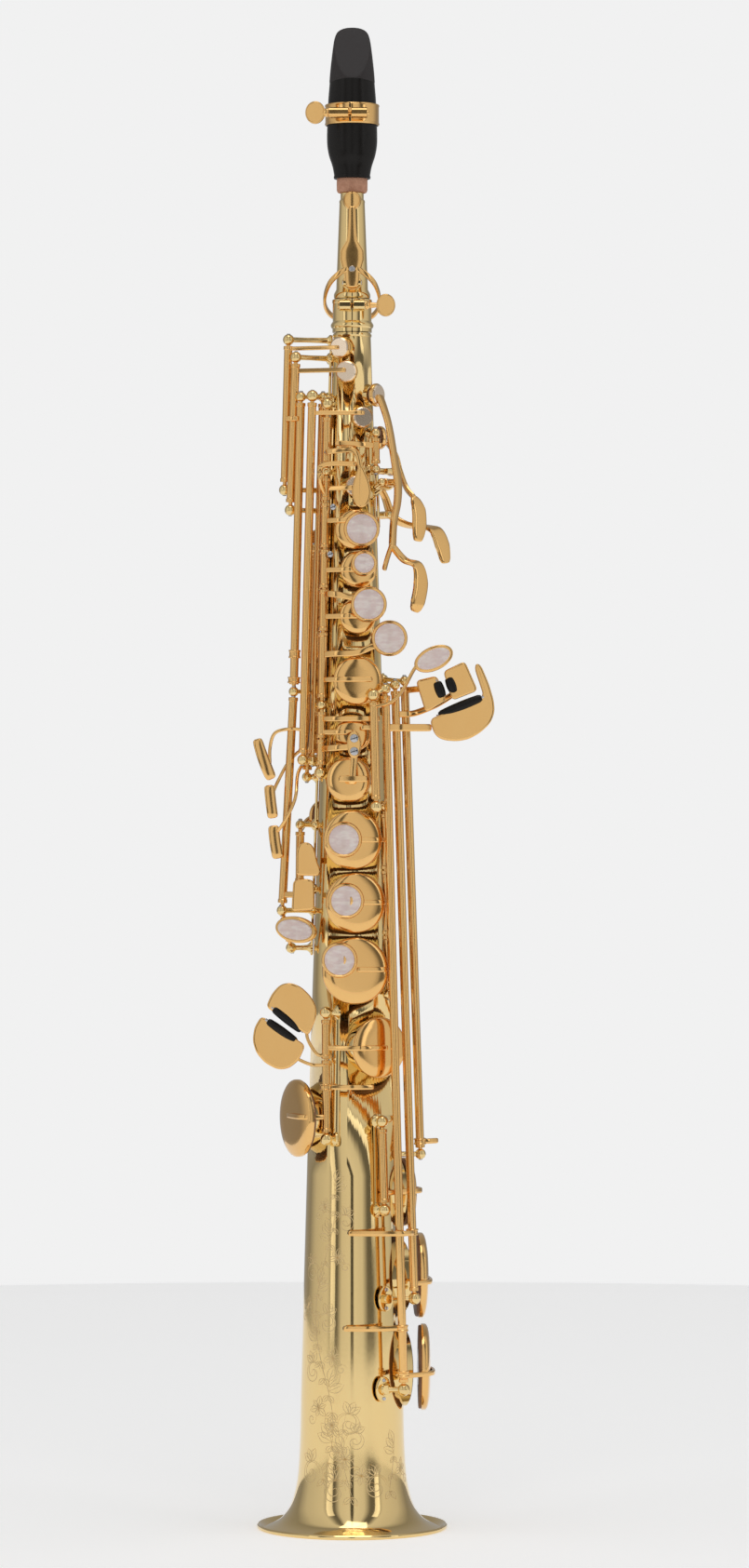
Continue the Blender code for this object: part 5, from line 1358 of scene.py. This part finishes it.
# %% Palm keys and the front lever
def palm_keys():
    """Three seesaw levers on cross hinges, and the front lever with its link."""
    def palm(name, line, lever, widths, touch, touch_width, extra=()):
        low, high = Vector(line[0]), Vector(line[1])
        run = (high - low).normalized()
        barrel = rod(low + run * 2.3, high - run * 2.3, 1.9)
        over = min(lever, key=lambda p: abs(p[2] - low.z))
        solids = [CUPS[name].mesh(hinge(line)), barrel,
                  rod((low + high) / 2, over, 1.7), arm(lever, widths, 2.3, up=run),
                  arm(touch, touch_width, 2.2, up=(1, 0.7, 0))]
        key(name, solids + list(extra))

    f_top = CUPS["palm_f_key"].top(hinge(PALM_F), 0, 0, 0.2)
    palm("palm_f_key", PALM_F, [f_top, (17.4, -11.4, 532.0), (20.4, -12.6, 514.0),
         (22.0, -13.4, 503.4), (21.8, -13.6, 494.0), (20.0, -14.2, 484.0), (19.4, -14.6, 472.0)],
         [5.2, 4.2, 4.6, 5.4, 4.8, 4.4, 4.6],
         [(19.2, -14.6, 473.0), (25.0, -15.0, 466.2), (31.4, -15.2, 463.2), (33.0, -15.2, 455.0),
          (31.6, -15.2, 446.0), (29.8, -14.8, 441.2)], [3.4, 4.0, 6.0, 8.0, 8.0, 5.0],
         [arm([(19.3, -14.6, 474.0), (17.0, -16.6, 467.0), (15.4, -18.0, 461.0)], 3.0, 2.0,
              up=(0.3, 1, 0))])
    eb_top = CUPS["palm_e_flat_key"].top(hinge(PALM_EB), 0, 0, 0.2)
    palm("palm_e_flat_key", PALM_EB, [eb_top, (20.8, 5.8, 518.0), (23.2, 4.0, 509.5),
         (26.4, 0.0, 501.0), (30.6, -3.6, 496.0)], [5.0, 4.0, 5.0, 4.4, 4.6],
         [(29.6, -3.2, 497.0), (32.0, -4.8, 491.0), (32.4, -5.0, 483.0), (31.6, -5.0, 475.4)],
         [4.0, 7.6, 8.0, 5.0])
    d_top = CUPS["palm_d_key"].top(hinge(PALM_D), 0, 0, 0.2)
    palm("palm_d_key", PALM_D, [d_top, (15.4, 17.6, 499.0), (19.2, 17.2, 489.0),
         (26.0, 14.0, 484.6), (35.0, 10.0, 483.0)], [5.0, 4.0, 5.2, 4.4, 4.6],
         [(34.0, 10.2, 483.4), (40.4, 9.0, 481.0), (43.6, 8.6, 474.0), (45.2, 8.4, 465.4)],
         [4.0, 8.0, 8.4, 5.0])
    key("high_f_link", [hinge_tube(F_LINK, 512.4, 524.6, 1.9), arm([(14.6, -14.0, 521.0),
        along(F_LINK, 521.2), (4.0, -17.4, 521.4), (-8.0, -18.4, 521.8)], 2.7, 1.5)])
    u = UPPER_STACK
    key("front_f_lever", [hinge_tube(u, 511.6, 534.4), arm([along(u, 517.0),
        (-11.0, -21.0, 517.6), (-4.0, -24.2, 518.2), (0.6, -25.6, 518.0), (2.9, -26.0, 515.4),
        (3.9, -26.0, 511.0), (4.2, -26.0, 506.0)], 1.7, 2.6, up=(0, -1, 0)),
        plate([(3.2, 511.0), (4.7, 511.0), (6.5, 507.4), (8.4, 502.6), (9.2, 498.4),
               (8.6, 494.4), (6.8, 491.4), (4.5, 490.4), (2.2, 491.4), (0.4, 494.4),
               (-0.2, 498.4), (0.6, 502.6), (2.1, 507.0)], -26.4, thickness=1.9)])


# %% [markdown]
# Each little finger has a table of plates with black rollers between them, so that it can slide
# from one plate to the next. Long levers run from the left table down to the bell keys.

# %% Rollers
ROLLERS = {
    "low_e_flat_roller": ((-37.6, -20.4, 251.0), (-24.2, -20.4, 240.6), 1.7),
    "low_c_roller": ((-40.4, -20.4, 245.2), (-26.6, -20.4, 235.2), 1.7),
    "low_c_sharp_roller": ((40.6, -24.6, 407.4), (43.2, -24.6, 400.0), 2.0),
    "low_b_roller": ((46.2, -24.6, 409.4), (49.0, -24.6, 402.2), 2.0),
    "low_b_flat_roller": ((41.6, -24.6, 391.4), (62.0, -24.6, 399.9), 1.9),
}


ON_KEY = {"low_e_flat_roller": "low_e_flat_key", "low_c_roller": "low_c_key",
          "low_c_sharp_roller": "low_c_sharp_lever", "low_b_roller": "low_b_key",
          "low_b_flat_roller": "low_b_flat_key"}


def rollers():
    for name, (start, end, radius) in ROLLERS.items():
        start, end = Vector(start), Vector(end)
        half = (end - start).length / 2
        barrel = [(1.25 * radius * (0.74 + 0.26 * cos(pi * k / 16) ** 0.7), half * k / 8)
                  for k in range(-7, 8)]
        profile = [(0.0, half)] + [(0.7 * radius, half)] + [(r, h) for r, h in reversed(barrel)]
        profile += [(0.7 * radius, -half), (0.0, -half)]
        add_part(name, [lathe(profile, (start + end) / 2, end - start, 36)], ebonite_gloss)
        run = (end - start).normalized()
        pins = [rod(place - run * 1.2, place + run * 1.2, 0.7) for place in (start, end)]
        piece(name + "_pin", pins, screw_steel, BODY_OF[ON_KEY[name]])


# %% Little-finger keys and their long levers
def collar(line, z):
    return hinge_tube(line, z - 1.5, z + 1.5, 2.7)


def low_keys():
    """The little fingers' keys: long levers on the right, the side keys on the left."""
    key("g_sharp_lever", [hinge_tube(ROD_1, 351.3, 397.7), arm([along(ROD_1, 395.4),
        (18.4, -31.0, 397.4), (24.0, -30.0, 403.0), (29.9, -28.8, 413.6), (33.4, -28.0, 416.8)],
        [3.0, 3.0, 3.0, 3.4, 4.0], up=(0, -1, 0.2)),
        arm([along(ROD_1, 385.6), (8.4, -28.4, 385.6), (4.4, -27.6, 385.6)], 2.4),
        plate(ellipse(10.0, 5.8, 25, (39.0, 418.4), 18), -28.4, thickness=2.6)])
    key("low_b_flat_key", [hinge_tube(ROD_2, 72.6, 400.8), collar(ROD_2, 98.5),
        collar(ROD_2, 76.6),
        arm([along(ROD_2, 385.5), (24.0, -26.4, 385.5), (38.0, -24.8, 385.5)], 3.6, 1.8),
        plate([(37.3, 389.6), (63.0, 400.7), (58.8, 413.6), (59.4, 416.4), (61.8, 415.4),
               (65.6, 406.4),
               (67.9, 398.4), (68.3, 393.0), (66.2, 387.6), (61.5, 383.2), (56.0, 380.0),
               (50.2, 378.9), (44.0, 379.4), (40.4, 381.1), (38.2, 385.0)], -24.6, thickness=2.0),
        arm([along(ROD_2, 98.5), (20.0, -25.4, 98.5), (10.0, -28.6, 98.5), (0.0, -28.0, 98.5),
             (-3.8, -27.0, 98.5)], 2.6)]
        + cup_solids("low_b_flat_key", ROD_2, 75.6, reach=2.0))
    key("low_b_key", [hinge_tube(ROD_3, 115.8, 403.1), collar(ROD_3, 144.0),
        arm([along(ROD_3, 392.0), (26.5, -20.8, 392.0), (31.5, -18.0, 393.0), (41.0, -15.4, 397.0),
             (50.0, -14.6, 403.0), (52.4, -20.0, 407.0), (52.4, -24.4, 408.4)], 3.0, 1.6),
        plate([(43.6, 412.4), (54.0, 417.4), (60.2, 403.2), (48.0, 398.4)], -24.6, thickness=2.0),
        arm([along(ROD_3, 144.0), (28.6, -23.4, 144.0), (25.2, -27.8, 144.0), (20.0, -28.8, 144.0),
             (8.0, -28.2, 144.0), (-1.6, -26.4, 144.0)], 2.6)]
        + cup_solids("low_b_key", ROD_3, 119.2, reach=2.0))
    key("low_c_sharp_lever", [hinge_tube(ROD_4, 183.6, 405.2), collar(ROD_4, 186.6),
        arm([along(ROD_4, 403.4), (31.0, -19.6, 404.0), (37.0, -24.4, 404.0)], 3.0, 1.8),
        plate([(30.5, 408.0), (40.6, 410.4), (45.2, 398.6), (35.2, 392.6)], -24.6, thickness=2.0),
        arm([along(ROD_4, 186.6), (37.6, -3.4, 186.6), (41.2, 0.4, 186.6)], 2.6)])
    cup = CUPS["low_c_sharp_key"]
    pose = hinge(C_SHARP)
    top = cup.top(pose)
    key("low_c_sharp_key", [hinge_tube(C_SHARP, 158.4, 193.6), cup.mesh(pose),
        arm([along(C_SHARP, 163.0), (19.0, -19.2, 163.0), (24.0, -14.4, 163.0),
             (28.2, -11.6, 163.0), (31.0, -9.4, 163.0), (33.0, -3.0, 163.0),
             top + outward(cup.phi) * 0.9 + Vector((0, 0, 1.5))], 2.6)])
    key("low_e_flat_key", [hinge_tube(LOW_C, 227.2, 245.8), arm([along(LOW_C, 229.3),
        (-16.6, -22.0, 229.3), (-21.0, -20.4, 236.0), (-21.8, -20.2, 242.0)], 2.8, up=(0, -1, 0)),
        plate([(-41.2, 251.9), (-38.4, 258.2), (-34.4, 262.6), (-29.6, 263.6), (-24.4, 261.6),
               (-19.6, 257.0), (-16.8, 251.6), (-17.2, 246.4), (-20.7, 238.0)], -20.4,
              thickness=2.2)] + cup_solids("low_e_flat_key", LOW_C, 232.4, reach=3.0))
    key("low_c_key", [hinge_tube(LOW_C, 192.1, 226.4), hinge_tube(LOW_C, 212.0, 215.2, 2.9),
        arm([along(LOW_C, 224.3), (-19.0, -22.6, 224.3), (-26.0, -21.0, 227.0),
             (-30.0, -20.4, 230.0)], 2.6, up=(0, -1, 0)),
        plate([(-47.6, 235.6), (-46.8, 242.0), (-43.4, 247.6), (-22.2, 233.6), (-25.4, 226.2),
               (-30.2, 222.4), (-35.4, 221.8), (-41.6, 225.0), (-45.8, 229.8)], -20.4,
              thickness=2.2),
        arm([along(LOW_C, 213.6), (-4.0, -24.6, 213.6), (4.0, -24.6, 213.6), (10.4, -22.0, 213.6)],
            2.4)] + cup_solids("low_c_key", LOW_C, 199.3, reach=-3.0))


# %% [markdown]
# Behind the tube the left thumb rocks the octave lever, whose thin upper end reaches the neck's
# ring, and a second small pad closes a vent on the body.

# %% Octave keys
def octave_keys():
    key("octave_thumb_lever", [hinge_tube(OCTAVE, 471.4, 558.6),
        arm([along(OCTAVE, 476.0), (-10.4, 20.4, 476.0), (-15.0, 20.6, 476.0)], 3.4, 1.8),
        lathe([(0.0, 1.4), (5.2, 1.2), (7.0, 0.0), (6.4, -1.2), (0.0, -1.2)], (-15.4, 20.8, 476.0),
              (0, 1, 0), 14),
        arm([along(OCTAVE, 556.0), (-2.4, 17.0, 557.4), (-0.6, 14.0, 565.0), (0, 11.4, 572.0),
             (0, 11.4, 587.0)], 1.8, 1.7, up=(0.2, 1, 0))])
    face = outward(OCTAVE_PIP[0])
    pad = around(OCTAVE_PIP[0], 13.4, OCTAVE_PIP[1])
    barrel = rod((0.7, 15.8, 543.0), (6.1, 15.8, 543.0), 1.7)
    key("body_octave_key", [barrel, lathe([(0.0, 2.0), (3.0, 1.7), (3.4, 0.0),
        (0.0, 0.0)], pad, face, 14), arm([(3.4, 17.0, 541.6), (3.4, 17.2, 546.0),
        pad + face * 2.4 + Vector((0, 0, 0.4))], 3.0, 1.5, up=(1, 0, 0)),
        arm([(3.4, 16.6, 543.6), (3.4, 18.6, 537.0), (0.0, 18.8, 531.0)], 3.0, 1.5, up=(1, 0, 0))])


for make in (left_rib, upper_stack_rib, lower_stack_rib, palm_key_rib, pinky_table_post,
             c_sharp_rib, low_c_rib, thumb_hook, strap_ring, thumb_rest, stack_keys, high_keys, palm_keys,
             low_keys, octave_keys, rollers):
    make()
flange_post("low_b_post", ROD_3[0], 39, stem=1.0)
flange_post("low_b_flat_post", ROD_2[0], 34)

# %% [markdown]
# Every cup holds a pad of thin brown leather over felt, with a domed metal disc riveted to its
# middle to keep the tone bright. The small cups have no disc. On a key that stands open the pad's
# edge shows as a dark line under the cup. The smallest cups are flat on top, and a paler gold is
# painted there as the highlight that the flat catches from the light.

# %% Pads
HINGE_OF = {
    "high_g_key": HIGH_G, "high_f_sharp_key": HIGH_FS, "high_e_key": HIGH_E,
    "side_c_key": SIDE_C, "side_b_flat_key": SIDE_BB, "f_sharp_trill_key": TRILL,
    "palm_f_key": PALM_F, "palm_e_flat_key": PALM_EB, "palm_d_key": PALM_D,
    "f_key": LOWER_STACK, "e_key": LOWER_STACK, "d_key": LOWER_STACK,
    "low_b_flat_key": ROD_2, "low_b_key": ROD_3, "low_c_sharp_key": C_SHARP,
    "low_e_flat_key": LOW_C, "low_c_key": LOW_C,
}


def pads():
    for name, cup in CUPS.items():
        pose = hinge(HINGE_OF.get(name, UPPER_STACK))
        piece(name + "_pad", [cup.pad(pose)], pad_leather, BODY_OF[name])
        if cup.radius < FLAT_TOP_BELOW:
            # the paler top is a painted highlight
            piece(name + "_face", [cup.highlight_top(pose)], painted_highlight_gold, BODY_OF[name])
        if cup.radius > DISC_ABOVE:
            piece(name + "_resonator", [cup.resonator(pose)], screw_steel, BODY_OF[name])


pads()

# %% [markdown]
# Two touches are oval pearls inlaid in a plate. They are almost flat.

# %% Oval pearl inlays
def oval_pearls():
    face = outward(-28)
    piece("high_g_lever_pearl", [plate(ellipse(9.6, 4.9, -8, count=18), 0, normal=face,
                                       thickness=1.0, at=Vector((-26.8, -9.6, 288.6)) + face * 1.3,
                                       crown=0.5)], shell_pearl, "high_g_lever")
    piece("g_sharp_lever_pearl", [plate(ellipse(8.5, 4.4, 25, (39.0, 418.4), 18), -29.7,
                                        thickness=1.0, crown=0.5)], shell_pearl, "g_sharp_lever")


oval_pearls()

# %% [markdown]
# The steel shows in small places: the slotted point screws at the posts, the needle springs, and
# the adjusting screws that even out linked keys. The rods inside the hinge tubes look like the
# keys, because only their lacquered ends can be seen.

# %% Rods, point screws and springs
LINES = (UPPER_STACK, LOWER_STACK, HIGH_G, HIGH_FS, FS_ROD, FS_LEVER, HIGH_E, SIDE_C, SIDE_BB,
         TRILL, G_LEVER, ROD_1, ROD_2, ROD_3, ROD_4, C_SHARP, LOW_C, F_LINK, OCTAVE)


def hinge_steel():
    rods, heads, slots = [], [], []
    for line in LINES:
        low, direction = hinge(line)
        high = Vector(line[1])
        rods.append(rod(low, high, 0.95, segments=16))
        for end, out in ((low, -direction), (high, direction)):
            heads.append(lathe([(0.0, 0.5), (0.8, 0.45), (1.0, 0.25), (1.0, -0.4), (0.0, -0.4)],
                               end + out * (BALL_R - 0.4), out, 24))
            middle = end + out * (BALL_R + 0.05)
            across = Vector((0.7, 0.3, 0.0))
            # a dark bar of painted shade across each point screw's slot
            slots.append(slot_shade_bar(middle - across, middle + across))
    piece("hinge_rods", rods, key_gold)
    piece("point_screws", heads, screw_steel)
    piece("point_screw_slot_shades", slots, painted_slot_shade)


def needle_springs():
    wires = []
    for line, z, reach in ((UPPER_STACK, 366.0, 30.0), (UPPER_STACK, 398.5, 30.0),
                           (UPPER_STACK, 507.0, -32.0), (LOWER_STACK, 346.0, -28.0),
                           (LOWER_STACK, 260.0, 26.0), (ROD_1, 350.0, 34.0), (LOW_C, 191.0, 26.0),
                           (C_SHARP, 195.0, -26.0), (SIDE_C, 372.0, 40.0), (HIGH_E, 372.5, 44.0)):
        foot = along(line, z)
        tip = along(line, z + reach)
        side = Vector((foot.x, foot.y, 0.0)).normalized() * -2.7
        bend = (foot + tip) / 2 + side * 1.35
        wires.append(arm([foot + side * 0.8, bend, tip + side * 0.95], 0.36, 0.36))
    piece("needle_springs", wires, spring_steel)


def adjusting_screw(place, radius):
    """A domed screw head, facing the front, with a dark bar of painted shade for its sawn slot."""
    head = lathe([(0.0, 1.3), (0.6 * radius, 1.2), (0.92 * radius, 0.85), (radius, 0.4),
                  (radius, -1.4), (0.0, -1.4)], place, FRONT, 36)
    x, y, z = place
    slot = slot_shade_bar((x - radius * 0.8, y - 1.2, z - 0.5), (x + radius * 0.8, y - 1.2, z + 0.5))
    return head, slot


def adjusting_screws():
    deep = CUPS["g_sharp_key"].top(hinge(UPPER_STACK)).y - 5.8 - 0.9
    for i, (body, place, radius) in enumerate((
            ("f_sharp_key", (1.1, deep, 380.4), 2.1), ("f_sharp_key", (1.1, deep, 374.2), 2.1),
            ("b_key", (-9.0, -20.4, 491.2), 1.5), ("bis_key", (-10.4, -20.0, 468.6), 1.5))):
        head, slot = adjusting_screw(place, radius)
        piece(f"adjusting_screw_{i}", [head], screw_steel, body)
        # the screw's slot is a dark bar of painted shade
        piece(f"adjusting_slot_shade_{i}", [slot], painted_slot_shade, body)


hinge_steel()
needle_springs()
adjusting_screws()

# %% [markdown]
# Felts stop a key quietly. Each of the two long bell keys carries one under the foot of its
# level arm.

# %% Felts
def felts():
    for key_name, (x, y, z) in (("low_b_key", (-1.2, -25.4, 144.0)),
                                ("low_b_flat_key", (-3.4, -26.2, 98.5))):
        tube_side = -sqrt(tube_radius(z) ** 2 - x * x) - 0.3
        piece(key_name + "_foot_felt", [rod((x, y, z), (x, tube_side, z), 1.0)], black_felt,
              BODY_OF[key_name])


felts()

# %% [markdown]
# Good bells are engraved by hand with a small wavy cut that catches the light. The pattern here
# is a plain vine of spirals and leaves. Each stroke is a hair-thin strip laid on the tube, because
# a real cut has its own shadow that a colour alone would not show.

# %% Engraved vine on the bell
STROKE = 0.3


def on_tube(phi, z, lift=0.02):
    return around(phi, tube_radius_smooth(z) + lift, z)


BELL_CURVE = sorted(bell_curve())


def tube_radius_smooth(z):
    for (z0, r0), (z1, r1) in zip(BELL_CURVE, BELL_CURVE[1:]):
        if z0 <= z <= z1:
            return r0 + (r1 - r0) * (z - z0) / max(z1 - z0, 1e-6)
    return tube_radius(z)


def stroke(points):
    """A thin strip along (angle, height) points, wider in its middle like a graver's cut."""
    left, right = [], []
    count = len(points)
    for i, (phi, z) in enumerate(points):
        ahead = points[min(i + 1, count - 1)]
        behind = points[max(i - 1, 0)]
        r = tube_radius_smooth(z)
        run = Vector((radians(ahead[0] - behind[0]) * r, ahead[1] - behind[1])).normalized()
        wide = STROKE * (0.35 + sin(pi * i / (count - 1)))
        dphi, dz = -run.y * wide / 2 / radians(1.0) / r, run.x * wide / 2
        left.append(on_tube(phi + dphi, z + dz))
        right.append(on_tube(phi - dphi, z - dz))
    crest = [on_tube(phi, z, 0.09) for phi, z in points]
    under = [on_tube(phi, z, -0.05) for phi, z in points]
    return skin([[a, b, c, d] for a, b, c, d in zip(left, crest, right, under)])


def spiral(phi, z, size, turns, start, hand):
    out = []
    for i in range(34):
        t = i / 33
        a = start + hand * turns * tau * t
        reach = size * (1.0 - 0.86 * t)
        out.append((phi + reach * cos(a) / radians(1.0) / tube_radius(z), z + reach * sin(a)))
    return out


def leaf(phi, z, length, lean):
    """Both edges and the rib of one leaf."""
    strokes = []
    for bow in (-0.26, 0.0, 0.26):
        points = []
        for i in range(14):
            t = i / 13
            u, v = length * t * (1.0 if bow else 0.8), length * bow * sin(pi * t)
            x, y = u * cos(lean) - v * sin(lean), u * sin(lean) + v * cos(lean)
            points.append((phi + x / radians(1.0) / tube_radius(z), z + y))
        strokes.append(points)
    return strokes


def engraving(name, phi, z_low, z_high, hand):
    stem, strokes = [], []
    steps = int((z_high - z_low) / 2.0)
    for i in range(steps + 1):
        z = z_low + (z_high - z_low) * i / steps
        stem.append((phi + hand * 13.0 * sin((z - z_low) / 17.0), z))
    strokes.append(stem)
    for i in range(2, steps, 4):
        centre, z = stem[i]
        motif = (i // 4) % 3
        side = 1 if (i // 4) % 2 else -1
        size = 6.4 - 2.2 * i / steps
        reach = centre + side * degrees(size * 1.3 / tube_radius(z))
        if motif == 0:
            strokes.append(spiral(reach, z, size * 1.2, 1.5, pi * (side > 0), -side))
            strokes.append(spiral(reach, z + 1.0, size * 0.9, 1.2, pi * (side > 0), -side))
            for lean in (0.5, 1.1, 1.9):
                strokes += leaf(reach, z + size * 0.9, size * 1.1, pi * (side < 0) + side * lean)
        elif motif == 1:
            for petal in range(6):
                strokes += leaf(reach, z, size * (0.8 + 0.2 * (petal % 2)), tau * petal / 6 + 0.3)
            strokes.append(spiral(reach + side * 10.0, z - size, size * 0.5, 1.3, 0.4, side))
        else:
            for step, lean in ((0.0, 0.4), (2.2, 0.8), (4.4, 1.2)):
                strokes += leaf(centre, z + step, size * 1.5, pi * (side < 0) + side * lean)
        for lean in (-2.4, -0.9):
            strokes += leaf(centre, z - 2.0, size * 0.8, lean)
    piece(name, [stroke(points) for points in strokes], engraved)


engraving("bell_vine_left", -34, 24.0, 168.0, 1)
engraving("bell_vine_front", 2, 16.0, 58.0, -1)
engraving("bell_vine_right", 40, 18.0, 46.0, 1)

# %% [markdown]
# The stage is a pale floor and soft light from three panels: left, right and overhead. Polished
# brass shows its surroundings, so the sky carries upright bands of light and grey that the tube
# reflects as long straight highlights. The camera stands in front, level with the middle of the
# tube.

# %% Floor, light and camera
def floor():
    finish = Finish("pale_floor", metallic=0.0)
    mottled = finish.noise(1.2, 3.0)
    finish.colour(mottled, (0.93, 0.93, 0.93, 1.0), (0.97, 0.97, 0.97, 1.0))
    finish.set("Roughness", mottled * 0.1 + 0.7)
    finish.set("Emission Color", (0.9, 0.9, 0.9, 1.0))
    finish.set("Emission Strength", 0.38)
    disc = bpy.data.meshes.new("floor")
    bm = bmesh.new()
    bmesh.ops.create_circle(bm, cap_ends=True, segments=96, radius=FLOOR_RADIUS)
    bm.to_mesh(disc)
    bm.free()
    disc.materials.append(finish.material)
    made = bpy.data.objects.new("floor", disc)
    bpy.context.scene.collection.objects.link(made)


def sky():
    """Upright bands of brightness round the horizon, and a plain white for the background."""
    world = bpy.data.worlds.new("studio")
    bpy.context.scene.world = world
    world.use_nodes = True
    tree = world.node_tree
    background = tree.nodes["Background"]
    look = tree.nodes.new("ShaderNodeTexCoord")
    parts = tree.nodes.new("ShaderNodeSeparateXYZ")
    tree.links.new(look.outputs["Generated"], parts.inputs[0])
    x, y = Signal(tree, parts.outputs[0]), Signal(tree, parts.outputs[1])
    turn = x.maths("ARCTAN2", x, 0.0 - y) * (1.0 / tau) + 0.5
    ramp = tree.nodes.new("ShaderNodeValToRGB")
    bands = ((0.0, 0.36), (0.15, 0.26), (0.22, 0.54), (0.33, 0.66), (0.375, 0.18), (0.40, 0.12),
             (0.43, 0.66), (0.4885, 0.74), (0.4925, 0.06), (0.5075, 0.06), (0.5115, 0.74),
             (0.57, 0.66), (0.605, 0.14), (0.64, 0.12), (0.68, 0.68), (0.78, 0.58), (0.86, 0.26),
             (1.0, 0.36))
    stops = ramp.color_ramp.elements
    while len(stops) < len(bands):
        stops.new(0.5)
    for stop, (place, bright) in zip(stops, bands):
        stop.position = place
        stop.color = (bright, bright, bright, 1.0)
    tree.links.new(turn.socket, ramp.inputs[0])
    plain = tree.nodes.new("ShaderNodeBackground")
    plain.inputs["Color"].default_value = (0.88, 0.88, 0.88, 1.0)
    seen = tree.nodes.new("ShaderNodeLightPath")
    mixed = tree.nodes.new("ShaderNodeMixShader")
    tree.links.new(ramp.outputs[0], background.inputs["Color"])
    background.inputs["Strength"].default_value = 1.0
    tree.links.new(seen.outputs["Is Camera Ray"], mixed.inputs[0])
    tree.links.new(background.outputs[0], mixed.inputs[1])
    tree.links.new(plain.outputs[0], mixed.inputs[2])
    tree.links.new(mixed.outputs[0], tree.nodes["World Output"].inputs["Surface"])


FLOOR_RADIUS = 1.3
AIM_HEIGHT = 0.36


def panel(name, place, width, height, power):
    light = bpy.data.lights.new(name, "AREA")
    light.shape = "RECTANGLE"
    light.size = width
    light.size_y = height
    light.energy = power
    made = bpy.data.objects.new(name, light)
    bpy.context.scene.collection.objects.link(made)
    made.location = place
    aimed = Vector((AXIS_X, 0.0, AIM_HEIGHT)) - Vector(place)
    made.rotation_euler = aimed.to_track_quat("-Z", "Y").to_euler()


CAMERA_BACK = 2.635
CAMERA_HEIGHT = 0.3586
LENS = 125.4


def camera():
    eye = bpy.data.cameras.new("camera")
    eye.lens = LENS
    made = bpy.data.objects.new("camera", eye)
    bpy.context.scene.collection.objects.link(made)
    made.location = (0.0, -CAMERA_BACK, CAMERA_HEIGHT)
    made.rotation_euler = (radians(90.0), 0.0, 0.0)
    bpy.context.scene.camera = made


floor()
sky()
panel("left_panel", (-1.6, -1.5, 1.0), 0.5, 2.2, 2.5)
panel("right_panel", (1.7, -1.3, 1.1), 0.4, 2.2, 2.5)
panel("top_panel", (0.1, -0.4, 2.4), 1.0, 1.0, 5.0)
camera()
bpy.context.scene.view_settings.view_transform = "Standard"
